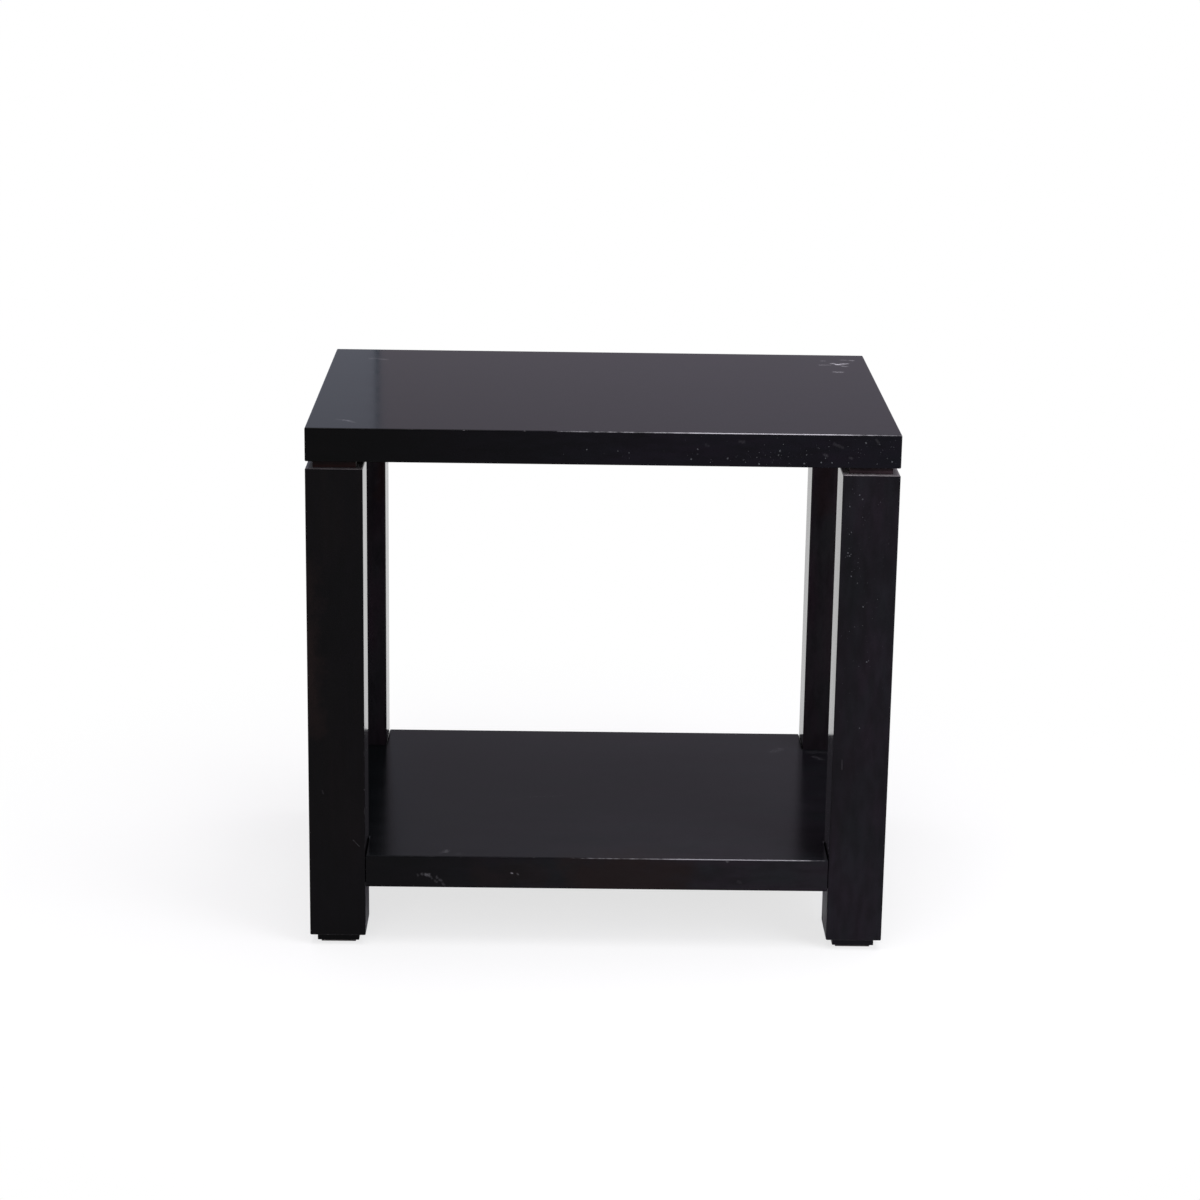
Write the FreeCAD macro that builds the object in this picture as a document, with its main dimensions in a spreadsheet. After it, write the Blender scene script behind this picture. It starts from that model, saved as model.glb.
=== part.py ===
import FreeCAD, Part
import os
import re
import Sketcher

# Driving sizes in millimetres: name, value and what it measures.
SIZES = (
    ("table_width", 660, "outer faces, side to side"),
    ("table_depth", 470, "outer faces, front to back"),
    ("table_height", 610, "floor to top surface"),
    ("top_thickness", 38, "slab top"),
    ("shelf_height", 110, "floor to shelf surface"),
    ("shelf_thickness", 38, "shelf slab"),
    ("skin_thickness", 6, "face panels of the top and the shelf"),
    ("slab_arris", 1.5, "easing radius on the edges of the top and the shelf"),
    ("leg_size", 64, "side of the square leg"),
    ("leg_arris", 1.5, "easing radius on the leg's edges"),
    ("reveal_height", 8, "shadow gap between leg and top"),
    ("reveal_inset", 8, "reveal block in from the leg's faces"),
    ("foot_height", 9, "foot block alone"),
    ("foot_inset", 8, "foot block in from the leg's faces"),
    ("foot_arris", 1, "easing radius on the foot block's edges"),
    ("glide_thickness", 3, "pad under the foot block"),
    ("glide_inset", 4, "pad in from the foot block's faces"),
    ("top_rail_width", 18, "mitred edge frame of the top"),
    ("top_block_size", 76, "corner block that takes a leg's fixings"),
    ("top_rib_thickness", 18, "core rib of the top"),
    ("spline_size", 10, "square plate across a mitre"),
    ("spline_thickness", 4, "square plate across a mitre"),
    ("bolt_diameter", 8, "hanger bolt"),
    ("bolt_into_leg", 60, "hanger bolt below the leg's top"),
    ("bolt_into_top", 22, "hanger bolt above the slab's underside"),
    ("bolt_point", 7, "tapered point of the hanger bolt"),
    ("insert_diameter", 12, "threaded insert"),
    ("insert_length", 18, "threaded insert"),
    ("dowel_diameter", 8, "dowel that stops a leg turning"),
    ("dowel_offset", 14, "dowel in from the bolt's axis"),
    ("dowel_into_leg", 25, "dowel below the leg's top"),
    ("dowel_into_top", 20, "dowel above the slab's underside"),
    ("dowel_bevel", 1, "bevel on the dowel's ends"),
    ("shelf_clearance", 0.4, "between a leg and the shelf's notch"),
    ("shelf_block_size", 60, "corner block inside the shelf"),
    ("shelf_rib_thickness", 18, "core rib of the shelf"),
    ("bracket_width", 40, "angle bracket along the leg's face"),
    ("bracket_flange", 28, "outside length of each flange"),
    ("bracket_thickness", 2, "bracket plate"),
    ("bracket_bend", 2, "inside radius of the bracket's fold"),
    ("bracket_hole_spacing", 20, "between the two holes of a flange"),
    ("bracket_hole_offset", 17, "holes from the bracket's outer corner"),
    ("screw_diameter", 4, "all wood screws"),
    ("screw_head_diameter", 8, "all wood screws"),
    ("screw_head_height", 2.4, "all wood screws"),
    ("screw_point", 4, "tapered point of a wood screw"),
    ("bracket_screw_length", 18, "under the head"),
    ("foot_screw_length", 35, "with its countersunk head"),
    ("fit_clearance", 0.1, "round each fastener and spline"),
    ("end_clearance", 1, "past the end of each fastener"),
)
NAMES = {name for name, _, _ in SIZES}

# How many core ribs stiffen each slab, evenly spaced.
TOP_RIBS = 3
SHELF_RIBS = 2

# Which way each corner and each side lies from the centre, along X and Y.
CORNERS = (("front_left", -1, -1), ("front_right", 1, -1), ("back_left", -1, 1), ("back_right", 1, 1))
SIDES = (("left", -1), ("right", 1))
ENDS = (("front", -1), ("back", 1))

# Heights and places worked out from the driving sizes.
TOP_UNDERSIDE = "(table_height - top_thickness)"
TOP_CORE = "(top_thickness - 2 * skin_thickness)"
TOP_CORE_BOTTOM = "(table_height - top_thickness + skin_thickness)"
LEG_TOP = "(table_height - top_thickness - reveal_height)"
LEG_BOTTOM = "(glide_thickness + foot_height)"
LEG_LENGTH = f"({LEG_TOP} - {LEG_BOTTOM})"
LEG_X = "((table_width - leg_size) / 2)"
LEG_Y = "((table_depth - leg_size) / 2)"
LEG_INNER_Y = "(table_depth / 2 - leg_size)"
DOWEL_Y = f"({LEG_Y} - dowel_offset)"
SHELF_UNDERSIDE = "(shelf_height - shelf_thickness)"
SHELF_CORE = "(shelf_thickness - 2 * skin_thickness)"
SHELF_CORE_BOTTOM = f"({SHELF_UNDERSIDE} + skin_thickness)"
NOTCH = "(leg_size + shelf_clearance)"
BOLT_HOLE = "(bolt_diameter + 2 * fit_clearance)"
INSERT_HOLE = "(insert_diameter + 2 * fit_clearance)"
INSERT_DEPTH = "(max(insert_length; bolt_into_top - skin_thickness) + end_clearance)"
DOWEL_HOLE = "(dowel_diameter + 2 * fit_clearance)"
SCREW_HOLE = "(screw_diameter + 2 * fit_clearance)"
SCREW_HEAD_HOLE = "(screw_head_diameter + 2 * fit_clearance)"

# Point and axis numbers that a sketch uses.
START, END, CENTRE = 1, 2, 3
X_AXIS, Y_AXIS = -1, -2

doc = FreeCAD.newDocument("end_table")
sheet = doc.addObject("Spreadsheet::Sheet", "sizes")
parts = {}


def fill_sheet():
    """Write the driving sizes into the sheet, one row each."""
    for row, (name, size, note) in enumerate(SIZES, start=1):
        sheet.set(f"A{row}", note)
        sheet.set(f"B{row}", str(size))
        sheet.setAlias(f"B{row}", name)
    doc.recompute()


def sized(expression):
    """Point every size named in an expression at its cell in the sheet."""
    return re.sub(r"[a-z_]+", lambda word: f"sizes.{word[0]}" if word[0] in NAMES else word[0], expression)


def value(expression):
    """Work out an expression with the sheet's present sizes."""
    return float(sheet.evalExpression(sized(expression)))


def place(piece, x="0", y="0", z="0"):
    """Bind a piece's place to three expressions."""
    for axis, expression in zip("xyz", (x, y, z)):
        piece.setExpression(f"Placement.Base.{axis}", sized(expression))


def keep(piece, label):
    """Name a finished piece and list it for writing."""
    piece.Label = label
    parts[label] = piece


def new_body(name):
    """Start an empty body."""
    return doc.addObject("PartDesign::Body", name)


def new_sketch(body, role, lift="0"):
    """Start a sketch on one of the body's own planes, lifted along the plane's normal."""
    sketch = body.newObject("Sketcher::SketchObject", "sketch")
    plane = next(feature for feature in body.Origin.OriginFeatures if feature.Role == role)
    sketch.AttachmentSupport = [(plane, "")]
    sketch.MapMode = "FlatFace"
    sketch.setExpression("AttachmentOffset.Base.z", sized(lift))
    return sketch


def pin(sketch, geometry, point, x, y):
    """Bind one point of a sketch to two expressions, measured from the sketch's origin."""
    for kind, expression, axis in (("DistanceX", x, Y_AXIS), ("DistanceY", y, X_AXIS)):
        if expression == "0":
            sketch.addConstraint(Sketcher.Constraint("PointOnObject", geometry, point, axis))
        else:
            distance = Sketcher.Constraint(kind, X_AXIS, START, geometry, point, value(expression))
            index = sketch.addConstraint(distance)
            sketch.setExpression(f"Constraints[{index}]", sized(expression))


def outline(sketch, points):
    """Draw a closed outline of straight lines through points that are pairs of expressions."""
    corners = [FreeCAD.Vector(value(x), value(y), 0) for x, y in points]
    first = sketch.GeometryCount
    for here, there in zip(corners, corners[1:] + corners[:1]):
        sketch.addGeometry(Part.LineSegment(here, there), False)
    for index, (x, y) in enumerate(points):
        line = first + index
        next_line = first + (index + 1) % len(points)
        sketch.addConstraint(Sketcher.Constraint("Coincident", line, END, next_line, START))
        pin(sketch, line, START, x, y)


def rectangle(sketch, x, y, wide, deep):
    """Draw a rectangle about a centre."""
    low_x = f"{x} - {wide} / 2"
    high_x = f"{x} + {wide} / 2"
    low_y = f"{y} - {deep} / 2"
    high_y = f"{y} + {deep} / 2"
    outline(sketch, ((low_x, low_y), (high_x, low_y), (high_x, high_y), (low_x, high_y)))


def circle(sketch, x, y, diameter):
    """Draw a circle about a centre."""
    centre = FreeCAD.Vector(value(x), value(y), 0)
    normal = FreeCAD.Vector(0, 0, 1)
    geometry = sketch.addGeometry(Part.Circle(centre, normal, value(diameter) / 2), False)
    pin(sketch, geometry, CENTRE, x, y)
    index = sketch.addConstraint(Sketcher.Constraint("Diameter", geometry, value(diameter)))
    sketch.setExpression(f"Constraints[{index}]", sized(diameter))


def pad(body, sketch, length, side="One side"):
    """Raise a sketch into a solid."""
    feature = body.newObject("PartDesign::Pad", "pad")
    feature.Profile = (sketch, [""])
    feature.SideType = side
    feature.setExpression("Length", sized(length))


def pocket(body, sketch, depth, reverse=False, side="One side"):
    """Cut a sketch into the body, and make sure that the cut takes something away."""
    doc.recompute()
    before = body.Shape.Volume
    feature = body.newObject("PartDesign::Pocket", "pocket")
    feature.Profile = (sketch, [""])
    feature.Reversed = reverse
    feature.SideType = side
    feature.setExpression("Length", sized(depth))
    doc.recompute()
    if not body.Shape.Volume < before:
        raise RuntimeError(f"{body.Name}: {feature.Name} cuts nothing")


def fillet(body, edges, radius):
    """Round the listed edges of the body's last feature."""
    base = body.Tip
    feature = body.newObject("PartDesign::Fillet", "fillet")
    feature.Base = (base, edges)
    feature.setExpression("Radius", sized(radius))
    doc.recompute()


def chamfer(body, edges, size):
    """Bevel the listed edges of the body's last feature."""
    base = body.Tip
    feature = body.newObject("PartDesign::Chamfer", "chamfer")
    feature.Base = (base, edges)
    feature.setExpression("Size", sized(size))
    doc.recompute()


def ease(body, radius):
    """Round every edge of the body."""
    doc.recompute()
    edges = [f"Edge{number}" for number in range(1, len(body.Shape.Edges) + 1)]
    fillet(body, edges, radius)


def block(name, x, y, bottom, wide, deep, high):
    """Make a plain box about a centre, standing on a height."""
    piece = doc.addObject("Part::Box", name)
    for side, expression in (("Length", wide), ("Width", deep), ("Height", high)):
        piece.setExpression(side, sized(expression))
    place(piece, f"{x} - {wide} / 2", f"{y} - {deep} / 2", bottom)
    return piece


def board(name, x, y, bottom, wide, deep, high):
    """Make a rectangular body about a centre, standing on a height, ready for holes."""
    body = new_body(name)
    sketch = new_sketch(body, "XY_Plane")
    rectangle(sketch, x, y, wide, deep)
    pad(body, sketch, high)
    place(body, z=bottom)
    return body


def drill(body, places, diameter, depth, lift="0", up=True):
    """Drill upright holes of one size, upwards or downwards from a height in the body."""
    sketch = new_sketch(body, "XY_Plane", lift)
    for x, y in places:
        circle(sketch, x, y, diameter)
    pocket(body, sketch, depth, reverse=up)


def trimmed(label, raw, envelope):
    """Cut a raw piece to the eased envelope of the slab that it belongs to."""
    piece = doc.addObject("Part::Common", label)
    piece.Base = raw
    piece.Tool = envelope
    keep(piece, label)


def turned(name, profile):
    """Turn a half profile, given as radius and height, about the upright axis."""
    body = new_body(name)
    sketch = new_sketch(body, "XZ_Plane")
    outline(sketch, profile)
    feature = body.newObject("PartDesign::Revolution", "turning")
    feature.Profile = (sketch, [""])
    feature.ReferenceAxis = (sketch, ["V_Axis"])
    return body


def group(label, master, places):
    """Gather copies of one piece at several places, each with its turn."""
    copies = []
    for x, y, z, turn in places:
        copy = doc.addObject("App::Link", f"{label}_copy")
        copy.LinkedObject = master
        copy.Placement = FreeCAD.Placement(FreeCAD.Vector(), turn)
        place(copy, x, y, z)
        copies.append(copy)
    gathered = doc.addObject("Part::Compound", label)
    gathered.Links = copies
    keep(gathered, label)


def signed(sign, expression):
    """Put an expression on one side of the centre."""
    return f"{sign} * {expression}"


UPRIGHT = FreeCAD.Rotation()
BOLT_PLACES = [(signed(sx, LEG_X), signed(sy, LEG_Y)) for _, sx, sy in CORNERS]
DOWEL_PLACES = [(signed(sx, LEG_X), signed(sy, DOWEL_Y)) for _, sx, sy in CORNERS]


def make_top_frame(envelope):
    """The mitred edge frame of the top, with a slot across each mitre, and the splines in the slots."""
    inner_x = "(table_width / 2 - top_rail_width)"
    inner_y = "(table_depth / 2 - top_rail_width)"
    rails = {}
    for end, sy in ENDS:
        rails[end] = [(f"{sx} * table_width / 2", f"{sy} * table_depth / 2") for sx in (-1, 1)]
        rails[end] += [(signed(sx, inner_x), signed(sy, inner_y)) for sx in (1, -1)]
    for side, sx in SIDES:
        rails[side] = [(f"{sx} * table_width / 2", f"{sy} * table_depth / 2") for sy in (-1, 1)]
        rails[side] += [(signed(sx, inner_x), signed(sy, inner_y)) for sy in (1, -1)]

    middle_x = "(table_width - top_rail_width) / 2"
    middle_y = "(table_depth - top_rail_width) / 2"
    middles = [(signed(sx, middle_x), signed(sy, middle_y)) for _, sx, sy in CORNERS]
    slot_size = "(spline_size + 2 * fit_clearance)"
    middle_height = f"({TOP_CORE_BOTTOM} + {TOP_CORE} / 2)"
    # Two of the four slots lie across each rail's ends.
    for name, points in rails.items():
        rail = new_body(f"raw_{name}_rail")
        sketch = new_sketch(rail, "XY_Plane")
        outline(sketch, points)
        pad(rail, sketch, TOP_CORE, side="Symmetric")
        slots = new_sketch(rail, "XY_Plane")
        for x, y in middles:
            rectangle(slots, x, y, slot_size, slot_size)
        pocket(rail, slots, "spline_thickness + 2 * fit_clearance", side="Symmetric")
        place(rail, z=middle_height)
        trimmed(f"top_{name}_rail", rail, envelope)

    spline = new_body("spline")
    sketch = new_sketch(spline, "XY_Plane")
    rectangle(sketch, "0", "0", "spline_size", "spline_size")
    pad(spline, sketch, "spline_thickness", side="Symmetric")
    group("top_mitre_splines", spline, [(x, y, middle_height, UPRIGHT) for x, y in middles])


def make_top():
    """The slab top: two skins over a mitred frame, corner blocks and core ribs."""
    envelope = board("top_envelope", "0", "0", TOP_UNDERSIDE, "table_width", "table_depth", "top_thickness")
    ease(envelope, "slab_arris")

    upper_bottom = "(table_height - skin_thickness)"
    upper = block("raw_upper", "0", "0", upper_bottom, "table_width", "table_depth", "skin_thickness")
    trimmed("top_upper_skin", upper, envelope)

    lower = board("raw_lower", "0", "0", TOP_UNDERSIDE, "table_width", "table_depth", "skin_thickness")
    drill(lower, BOLT_PLACES, BOLT_HOLE, "skin_thickness")
    drill(lower, DOWEL_PLACES, DOWEL_HOLE, "skin_thickness")
    trimmed("top_lower_skin", lower, envelope)
    make_top_frame(envelope)

    block_x = "((table_width - top_block_size) / 2 - top_rail_width)"
    block_y = "((table_depth - top_block_size) / 2 - top_rail_width)"
    insert_places = []
    for (corner, sx, sy), bolt, dowel in zip(CORNERS, BOLT_PLACES, DOWEL_PLACES):
        label = f"top_corner_block_{corner}"
        centre = (signed(sx, block_x), signed(sy, block_y))
        piece = board(label, *centre, TOP_CORE_BOTTOM, "top_block_size", "top_block_size", TOP_CORE)
        drill(piece, [bolt], INSERT_HOLE, INSERT_DEPTH)
        drill(piece, [dowel], DOWEL_HOLE, "dowel_into_top - skin_thickness + end_clearance")
        keep(piece, label)
        insert_places.append((*bolt, TOP_CORE_BOTTOM, UPRIGHT))

    rib_length = "(table_depth - 2 * top_rail_width)"
    for rib in range(1, TOP_RIBS + 1):
        x = f"table_width * ({rib} / ({TOP_RIBS} + 1) - 1 / 2)"
        label = f"top_core_rib_{rib}"
        keep(block(label, x, "0", TOP_CORE_BOTTOM, "top_rib_thickness", rib_length, TOP_CORE), label)

    insert = new_body("insert")
    ring = new_sketch(insert, "XY_Plane")
    circle(ring, "0", "0", "insert_diameter")
    circle(ring, "0", "0", BOLT_HOLE)
    pad(insert, ring, "insert_length")
    group("threaded_inserts", insert, insert_places)


def make_legs():
    """Four legs with their reveal blocks, hanger bolts and dowels."""
    reveal_size = "(leg_size - 2 * reveal_inset)"
    for (corner, sx, sy), bolt, dowel in zip(CORNERS, BOLT_PLACES, DOWEL_PLACES):
        label = f"leg_{corner}"
        leg = board(label, *bolt, LEG_BOTTOM, "leg_size", "leg_size", LEG_LENGTH)
        ease(leg, "leg_arris")
        drill(leg, [bolt], BOLT_HOLE, "bolt_into_leg + end_clearance", lift=LEG_LENGTH, up=False)
        drill(leg, [dowel], DOWEL_HOLE, "dowel_into_leg + end_clearance", lift=LEG_LENGTH, up=False)
        drill(leg, [bolt], SCREW_HOLE, "foot_screw_length - foot_height + end_clearance")
        # The bracket's screws enter the face that looks along the table's depth.
        inner_face = new_sketch(leg, "XZ_Plane", lift=signed(-sy, LEG_INNER_Y))
        for side in (-1, 1):
            x = f"{sx} * {LEG_X} + {side} * bracket_hole_spacing / 2"
            circle(inner_face, x, f"{SHELF_UNDERSIDE} - bracket_hole_offset - {LEG_BOTTOM}", SCREW_HOLE)
        pocket(leg, inner_face, "bracket_screw_length - bracket_thickness + end_clearance", reverse=sy < 0)
        keep(leg, label)

        label = f"reveal_block_{corner}"
        reveal = board(label, *bolt, LEG_TOP, reveal_size, reveal_size, "reveal_height")
        drill(reveal, [bolt], BOLT_HOLE, "reveal_height")
        drill(reveal, [dowel], DOWEL_HOLE, "reveal_height")
        keep(reveal, label)

    bolt_top = "reveal_height + bolt_into_top"
    bolt_profile = (
        ("0", "0 - bolt_into_leg"),
        ("bolt_diameter / 2", "bolt_point - bolt_into_leg"),
        ("bolt_diameter / 2", bolt_top),
        ("0", bolt_top),
    )
    hanger_bolt = turned("hanger_bolt", bolt_profile)
    group("leg_hanger_bolts", hanger_bolt, [(x, y, LEG_TOP, UPRIGHT) for x, y in BOLT_PLACES])

    dowel_bottom = "0 - dowel_into_leg"
    dowel_top = "reveal_height + dowel_into_top"
    dowel_profile = (
        ("0", dowel_bottom),
        ("dowel_diameter / 2 - dowel_bevel", dowel_bottom),
        ("dowel_diameter / 2", f"{dowel_bottom} + dowel_bevel"),
        ("dowel_diameter / 2", f"{dowel_top} - dowel_bevel"),
        ("dowel_diameter / 2 - dowel_bevel", dowel_top),
        ("0", dowel_top),
    )
    dowel_pin = turned("dowel", dowel_profile)
    group("leg_dowels", dowel_pin, [(x, y, LEG_TOP, UPRIGHT) for x, y in DOWEL_PLACES])


def bracket_places(sx, sy, offset):
    """The two hole places of a bracket's flange, at an offset from the leg's inner face."""
    y = f"{sy} * ({LEG_INNER_Y} - {offset})"
    return [(f"{sx} * {LEG_X} + {side} * bracket_hole_spacing / 2", y) for side in (-1, 1)]


def make_shelf():
    """The shelf: two notched skins over rails that meet the legs, corner blocks and core ribs."""
    between_x = f"(table_width - 2 * {NOTCH})"
    between_y = f"(table_depth - 2 * {NOTCH})"
    bottom = SHELF_UNDERSIDE
    long_way = board("shelf_long_way", "0", "0", bottom, "table_width", between_y, "shelf_thickness")
    ease(long_way, "slab_arris")
    short_way = board("shelf_short_way", "0", "0", bottom, between_x, "table_depth", "shelf_thickness")
    ease(short_way, "slab_arris")
    envelope = doc.addObject("Part::Fuse", "shelf_envelope")
    envelope.Base = long_way
    envelope.Tool = short_way

    upper_bottom = "(shelf_height - skin_thickness)"
    upper = block("raw_shelf_upper", "0", "0", upper_bottom, "table_width", "table_depth", "skin_thickness")
    trimmed("shelf_upper_skin", upper, envelope)

    screw_places = []
    for _, sx, sy in CORNERS:
        screw_places += bracket_places(sx, sy, "bracket_hole_offset")
    lower = board("raw_shelf_lower", "0", "0", bottom, "table_width", "table_depth", "skin_thickness")
    drill(lower, screw_places, SCREW_HOLE, "skin_thickness")
    trimmed("shelf_lower_skin", lower, envelope)

    for end, sy in ENDS:
        y = f"{sy} * (table_depth - {NOTCH}) / 2"
        raw = block(f"raw_shelf_{end}", "0", y, SHELF_CORE_BOTTOM, between_x, NOTCH, SHELF_CORE)
        trimmed(f"shelf_{end}_rail", raw, envelope)
    screw_reach = "bracket_screw_length - bracket_thickness - skin_thickness + end_clearance"
    for side, sx in SIDES:
        x = f"{sx} * (table_width - {NOTCH}) / 2"
        raw = board(f"raw_shelf_{side}", x, "0", SHELF_CORE_BOTTOM, NOTCH, between_y, SHELF_CORE)
        holes = bracket_places(sx, -1, "bracket_hole_offset") + bracket_places(sx, 1, "bracket_hole_offset")
        drill(raw, holes, SCREW_HOLE, screw_reach)
        trimmed(f"shelf_{side}_rail", raw, envelope)

    block_x = f"(({between_x} - shelf_block_size) / 2)"
    block_y = f"(({between_y} - shelf_block_size) / 2)"
    for corner, sx, sy in CORNERS:
        label = f"shelf_corner_block_{corner}"
        centre = (signed(sx, block_x), signed(sy, block_y))
        piece = block(label, *centre, SHELF_CORE_BOTTOM, "shelf_block_size", "shelf_block_size", SHELF_CORE)
        keep(piece, label)

    for rib in range(1, SHELF_RIBS + 1):
        x = f"{between_x} * ({rib} / ({SHELF_RIBS} + 1) - 1 / 2)"
        label = f"shelf_core_rib_{rib}"
        keep(block(label, x, "0", SHELF_CORE_BOTTOM, "shelf_rib_thickness", between_y, SHELF_CORE), label)


def fold_edge(body, sy, inset):
    """Name the edge of a bracket's fold that lies at an inset from its outer corner, both ways."""
    doc.recompute()
    y = value(f"{sy} * ({LEG_INNER_Y} - {inset})")
    z = value(f"{SHELF_UNDERSIDE} - {inset}")
    for number, edge in enumerate(body.Shape.Edges, start=1):
        middle = edge.CenterOfMass
        along_x = abs(edge.tangentAt(edge.FirstParameter).x) > 1 / 2
        if along_x and middle.isEqual(FreeCAD.Vector(middle.x, y, z), Part.Precision.confusion()):
            return f"Edge{number}"
    raise RuntimeError(f"{body.Name}: no fold edge")


def make_brackets():
    """An angle bracket between each leg and the shelf's underside, and the screws of both flanges."""
    shelf_screws = []
    leg_screws = []
    under_flange = f"{SHELF_UNDERSIDE} - bracket_thickness"
    leg_screw_height = f"{SHELF_UNDERSIDE} - bracket_hole_offset"
    for corner, sx, sy in CORNERS:
        label = f"shelf_bracket_{corner}"
        bracket = new_body(label)
        profile = new_sketch(bracket, "YZ_Plane", lift=signed(sx, LEG_X))
        corners = (
            ("0", "0"),
            ("bracket_flange", "0"),
            ("bracket_flange", "bracket_thickness"),
            ("bracket_thickness", "bracket_thickness"),
            ("bracket_thickness", "bracket_flange"),
            ("0", "bracket_flange"),
        )
        points = [(f"{sy} * ({LEG_INNER_Y} - {y})", f"{SHELF_UNDERSIDE} - {drop}") for y, drop in corners]
        outline(profile, points)
        pad(bracket, profile, "bracket_width", side="Symmetric")
        fillet(bracket, [fold_edge(bracket, sy, "bracket_thickness")], "bracket_bend")
        fillet(bracket, [fold_edge(bracket, sy, "0")], "bracket_bend + bracket_thickness")

        holes = bracket_places(sx, sy, "bracket_hole_offset")
        drill(bracket, holes, SCREW_HOLE, "bracket_thickness", lift=SHELF_UNDERSIDE, up=False)
        leg_holes = new_sketch(bracket, "XZ_Plane", lift=signed(-sy, LEG_INNER_Y))
        for x, _ in holes:
            circle(leg_holes, x, leg_screw_height, SCREW_HOLE)
        pocket(bracket, leg_holes, "bracket_thickness", reverse=sy > 0)
        keep(bracket, label)

        shelf_screws += [(x, y, under_flange, UPRIGHT) for x, y in holes]
        into_leg = FreeCAD.Rotation(FreeCAD.Vector(0, 0, 1), FreeCAD.Vector(0, sy, 0))
        faces = bracket_places(sx, sy, "bracket_thickness")
        leg_screws += [(x, y, leg_screw_height, into_leg) for x, y in faces]

    head_edge = "screw_head_diameter / 2"
    shank = "screw_diameter / 2"
    screw_profile = (
        ("0", "0 - screw_head_height"),
        (shank, "0 - screw_head_height"),
        (head_edge, "0 - screw_head_height / 2"),
        (head_edge, "0"),
        (shank, "0"),
        (shank, "bracket_screw_length - screw_point"),
        ("0", "bracket_screw_length"),
    )
    screw = turned("bracket_screw", screw_profile)
    group("bracket_shelf_screws", screw, shelf_screws)
    group("bracket_leg_screws", screw, leg_screws)


def lower_rims(body):
    """Name the round edges in the body's underside."""
    underside = body.Shape.BoundBox.ZMin
    rims = []
    for number, edge in enumerate(body.Shape.Edges, start=1):
        level = edge.BoundBox.ZMax - underside < Part.Precision.confusion()
        if level and edge.isClosed() and not edge.Degenerated:
            rims.append(f"Edge{number}")
    return rims


def make_feet():
    """A recessed foot block under each leg, its countersunk screw and its glide pad."""
    foot_size = "(leg_size - 2 * foot_inset)"
    glide_size = "(leg_size - 2 * foot_inset - 2 * glide_inset)"
    for (corner, _, _), centre in zip(CORNERS, BOLT_PLACES):
        label = f"foot_block_{corner}"
        foot = board(label, *centre, "glide_thickness", foot_size, foot_size, "foot_height")
        ease(foot, "foot_arris")
        drill(foot, [centre], SCREW_HOLE, "foot_height")
        chamfer(foot, lower_rims(foot), f"({SCREW_HEAD_HOLE} - {SCREW_HOLE}) / 2")
        keep(foot, label)

        label = f"glide_pad_{corner}"
        keep(board(label, *centre, "0", glide_size, glide_size, "glide_thickness"), label)

    shank = "screw_diameter / 2"
    countersunk_profile = (
        ("0", "0"),
        ("screw_head_diameter / 2", "0"),
        (shank, "(screw_head_diameter - screw_diameter) / 2"),
        (shank, "foot_screw_length - screw_point"),
        ("0", "foot_screw_length"),
    )
    screw = turned("foot_screw", countersunk_profile)
    group("foot_screws", screw, [(x, y, "glide_thickness", UPRIGHT) for x, y in BOLT_PLACES])


def check():
    """Stop if any object failed or any piece has no sound shape."""
    for thing in doc.Objects:
        if {"Invalid", "Error"} & set(thing.State):
            raise RuntimeError(f"{thing.Name} failed: {thing.State}")
    for label, piece in parts.items():
        if piece.Shape.isNull() or not piece.Shape.isValid() or not piece.Shape.Solids:
            raise RuntimeError(f"{label} has no sound shape")


def write():
    """Write each piece to its own file."""
    os.makedirs("parts", exist_ok=True)
    for label, piece in parts.items():
        piece.Shape.exportStep(f"parts/{label}.step")


fill_sheet()
make_top()
make_legs()
make_shelf()
make_brackets()
make_feet()
doc.recompute()
check()
write()
print(f"{len(parts)} pieces written")
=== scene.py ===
"""Looks of a black lacquered end table with a lower shelf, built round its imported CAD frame."""

import logging
import math
import random
from dataclasses import dataclass
from enum import Enum
from functools import reduce
from typing import Iterable, Sequence

import bmesh
import bpy
import numpy as np
from mathutils import Matrix, Vector


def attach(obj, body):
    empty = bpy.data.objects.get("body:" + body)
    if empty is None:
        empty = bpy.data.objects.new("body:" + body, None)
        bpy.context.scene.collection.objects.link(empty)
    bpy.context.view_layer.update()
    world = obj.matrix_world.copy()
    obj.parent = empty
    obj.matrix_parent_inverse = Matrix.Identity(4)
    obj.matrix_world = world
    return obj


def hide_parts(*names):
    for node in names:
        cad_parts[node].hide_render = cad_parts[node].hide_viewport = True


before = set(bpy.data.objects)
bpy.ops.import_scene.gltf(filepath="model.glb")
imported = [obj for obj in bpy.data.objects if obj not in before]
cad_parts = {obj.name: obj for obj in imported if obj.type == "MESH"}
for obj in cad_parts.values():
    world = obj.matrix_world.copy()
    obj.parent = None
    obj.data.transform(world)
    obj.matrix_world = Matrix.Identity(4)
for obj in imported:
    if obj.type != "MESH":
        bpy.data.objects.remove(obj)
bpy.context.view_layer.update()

log = logging.getLogger("end_table")

Point = tuple[float, float, float]
Colour = tuple[float, float, float]
Span = tuple[float, float]
Row = tuple[float, float, float, float, float, float]
Inputs = dict[str | int, object]
Node = bpy.types.Node
Socket = bpy.types.NodeSocket
Value = Socket | float | tuple
Material = bpy.types.Material
Piece = bpy.types.Object

BODY = "root"
MM = 0.001
FRONT = -0.235
BACK_LEGS = 0.171
DRAWN_OUT = 0.28
CORNERS = (
    ("front_left", -1.0, -1.0),
    ("front_right", 1.0, -1.0),
    ("back_left", -1.0, 1.0),
    ("back_right", 1.0, 1.0),
)
SIDES = ("front", "back", "left", "right")


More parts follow.
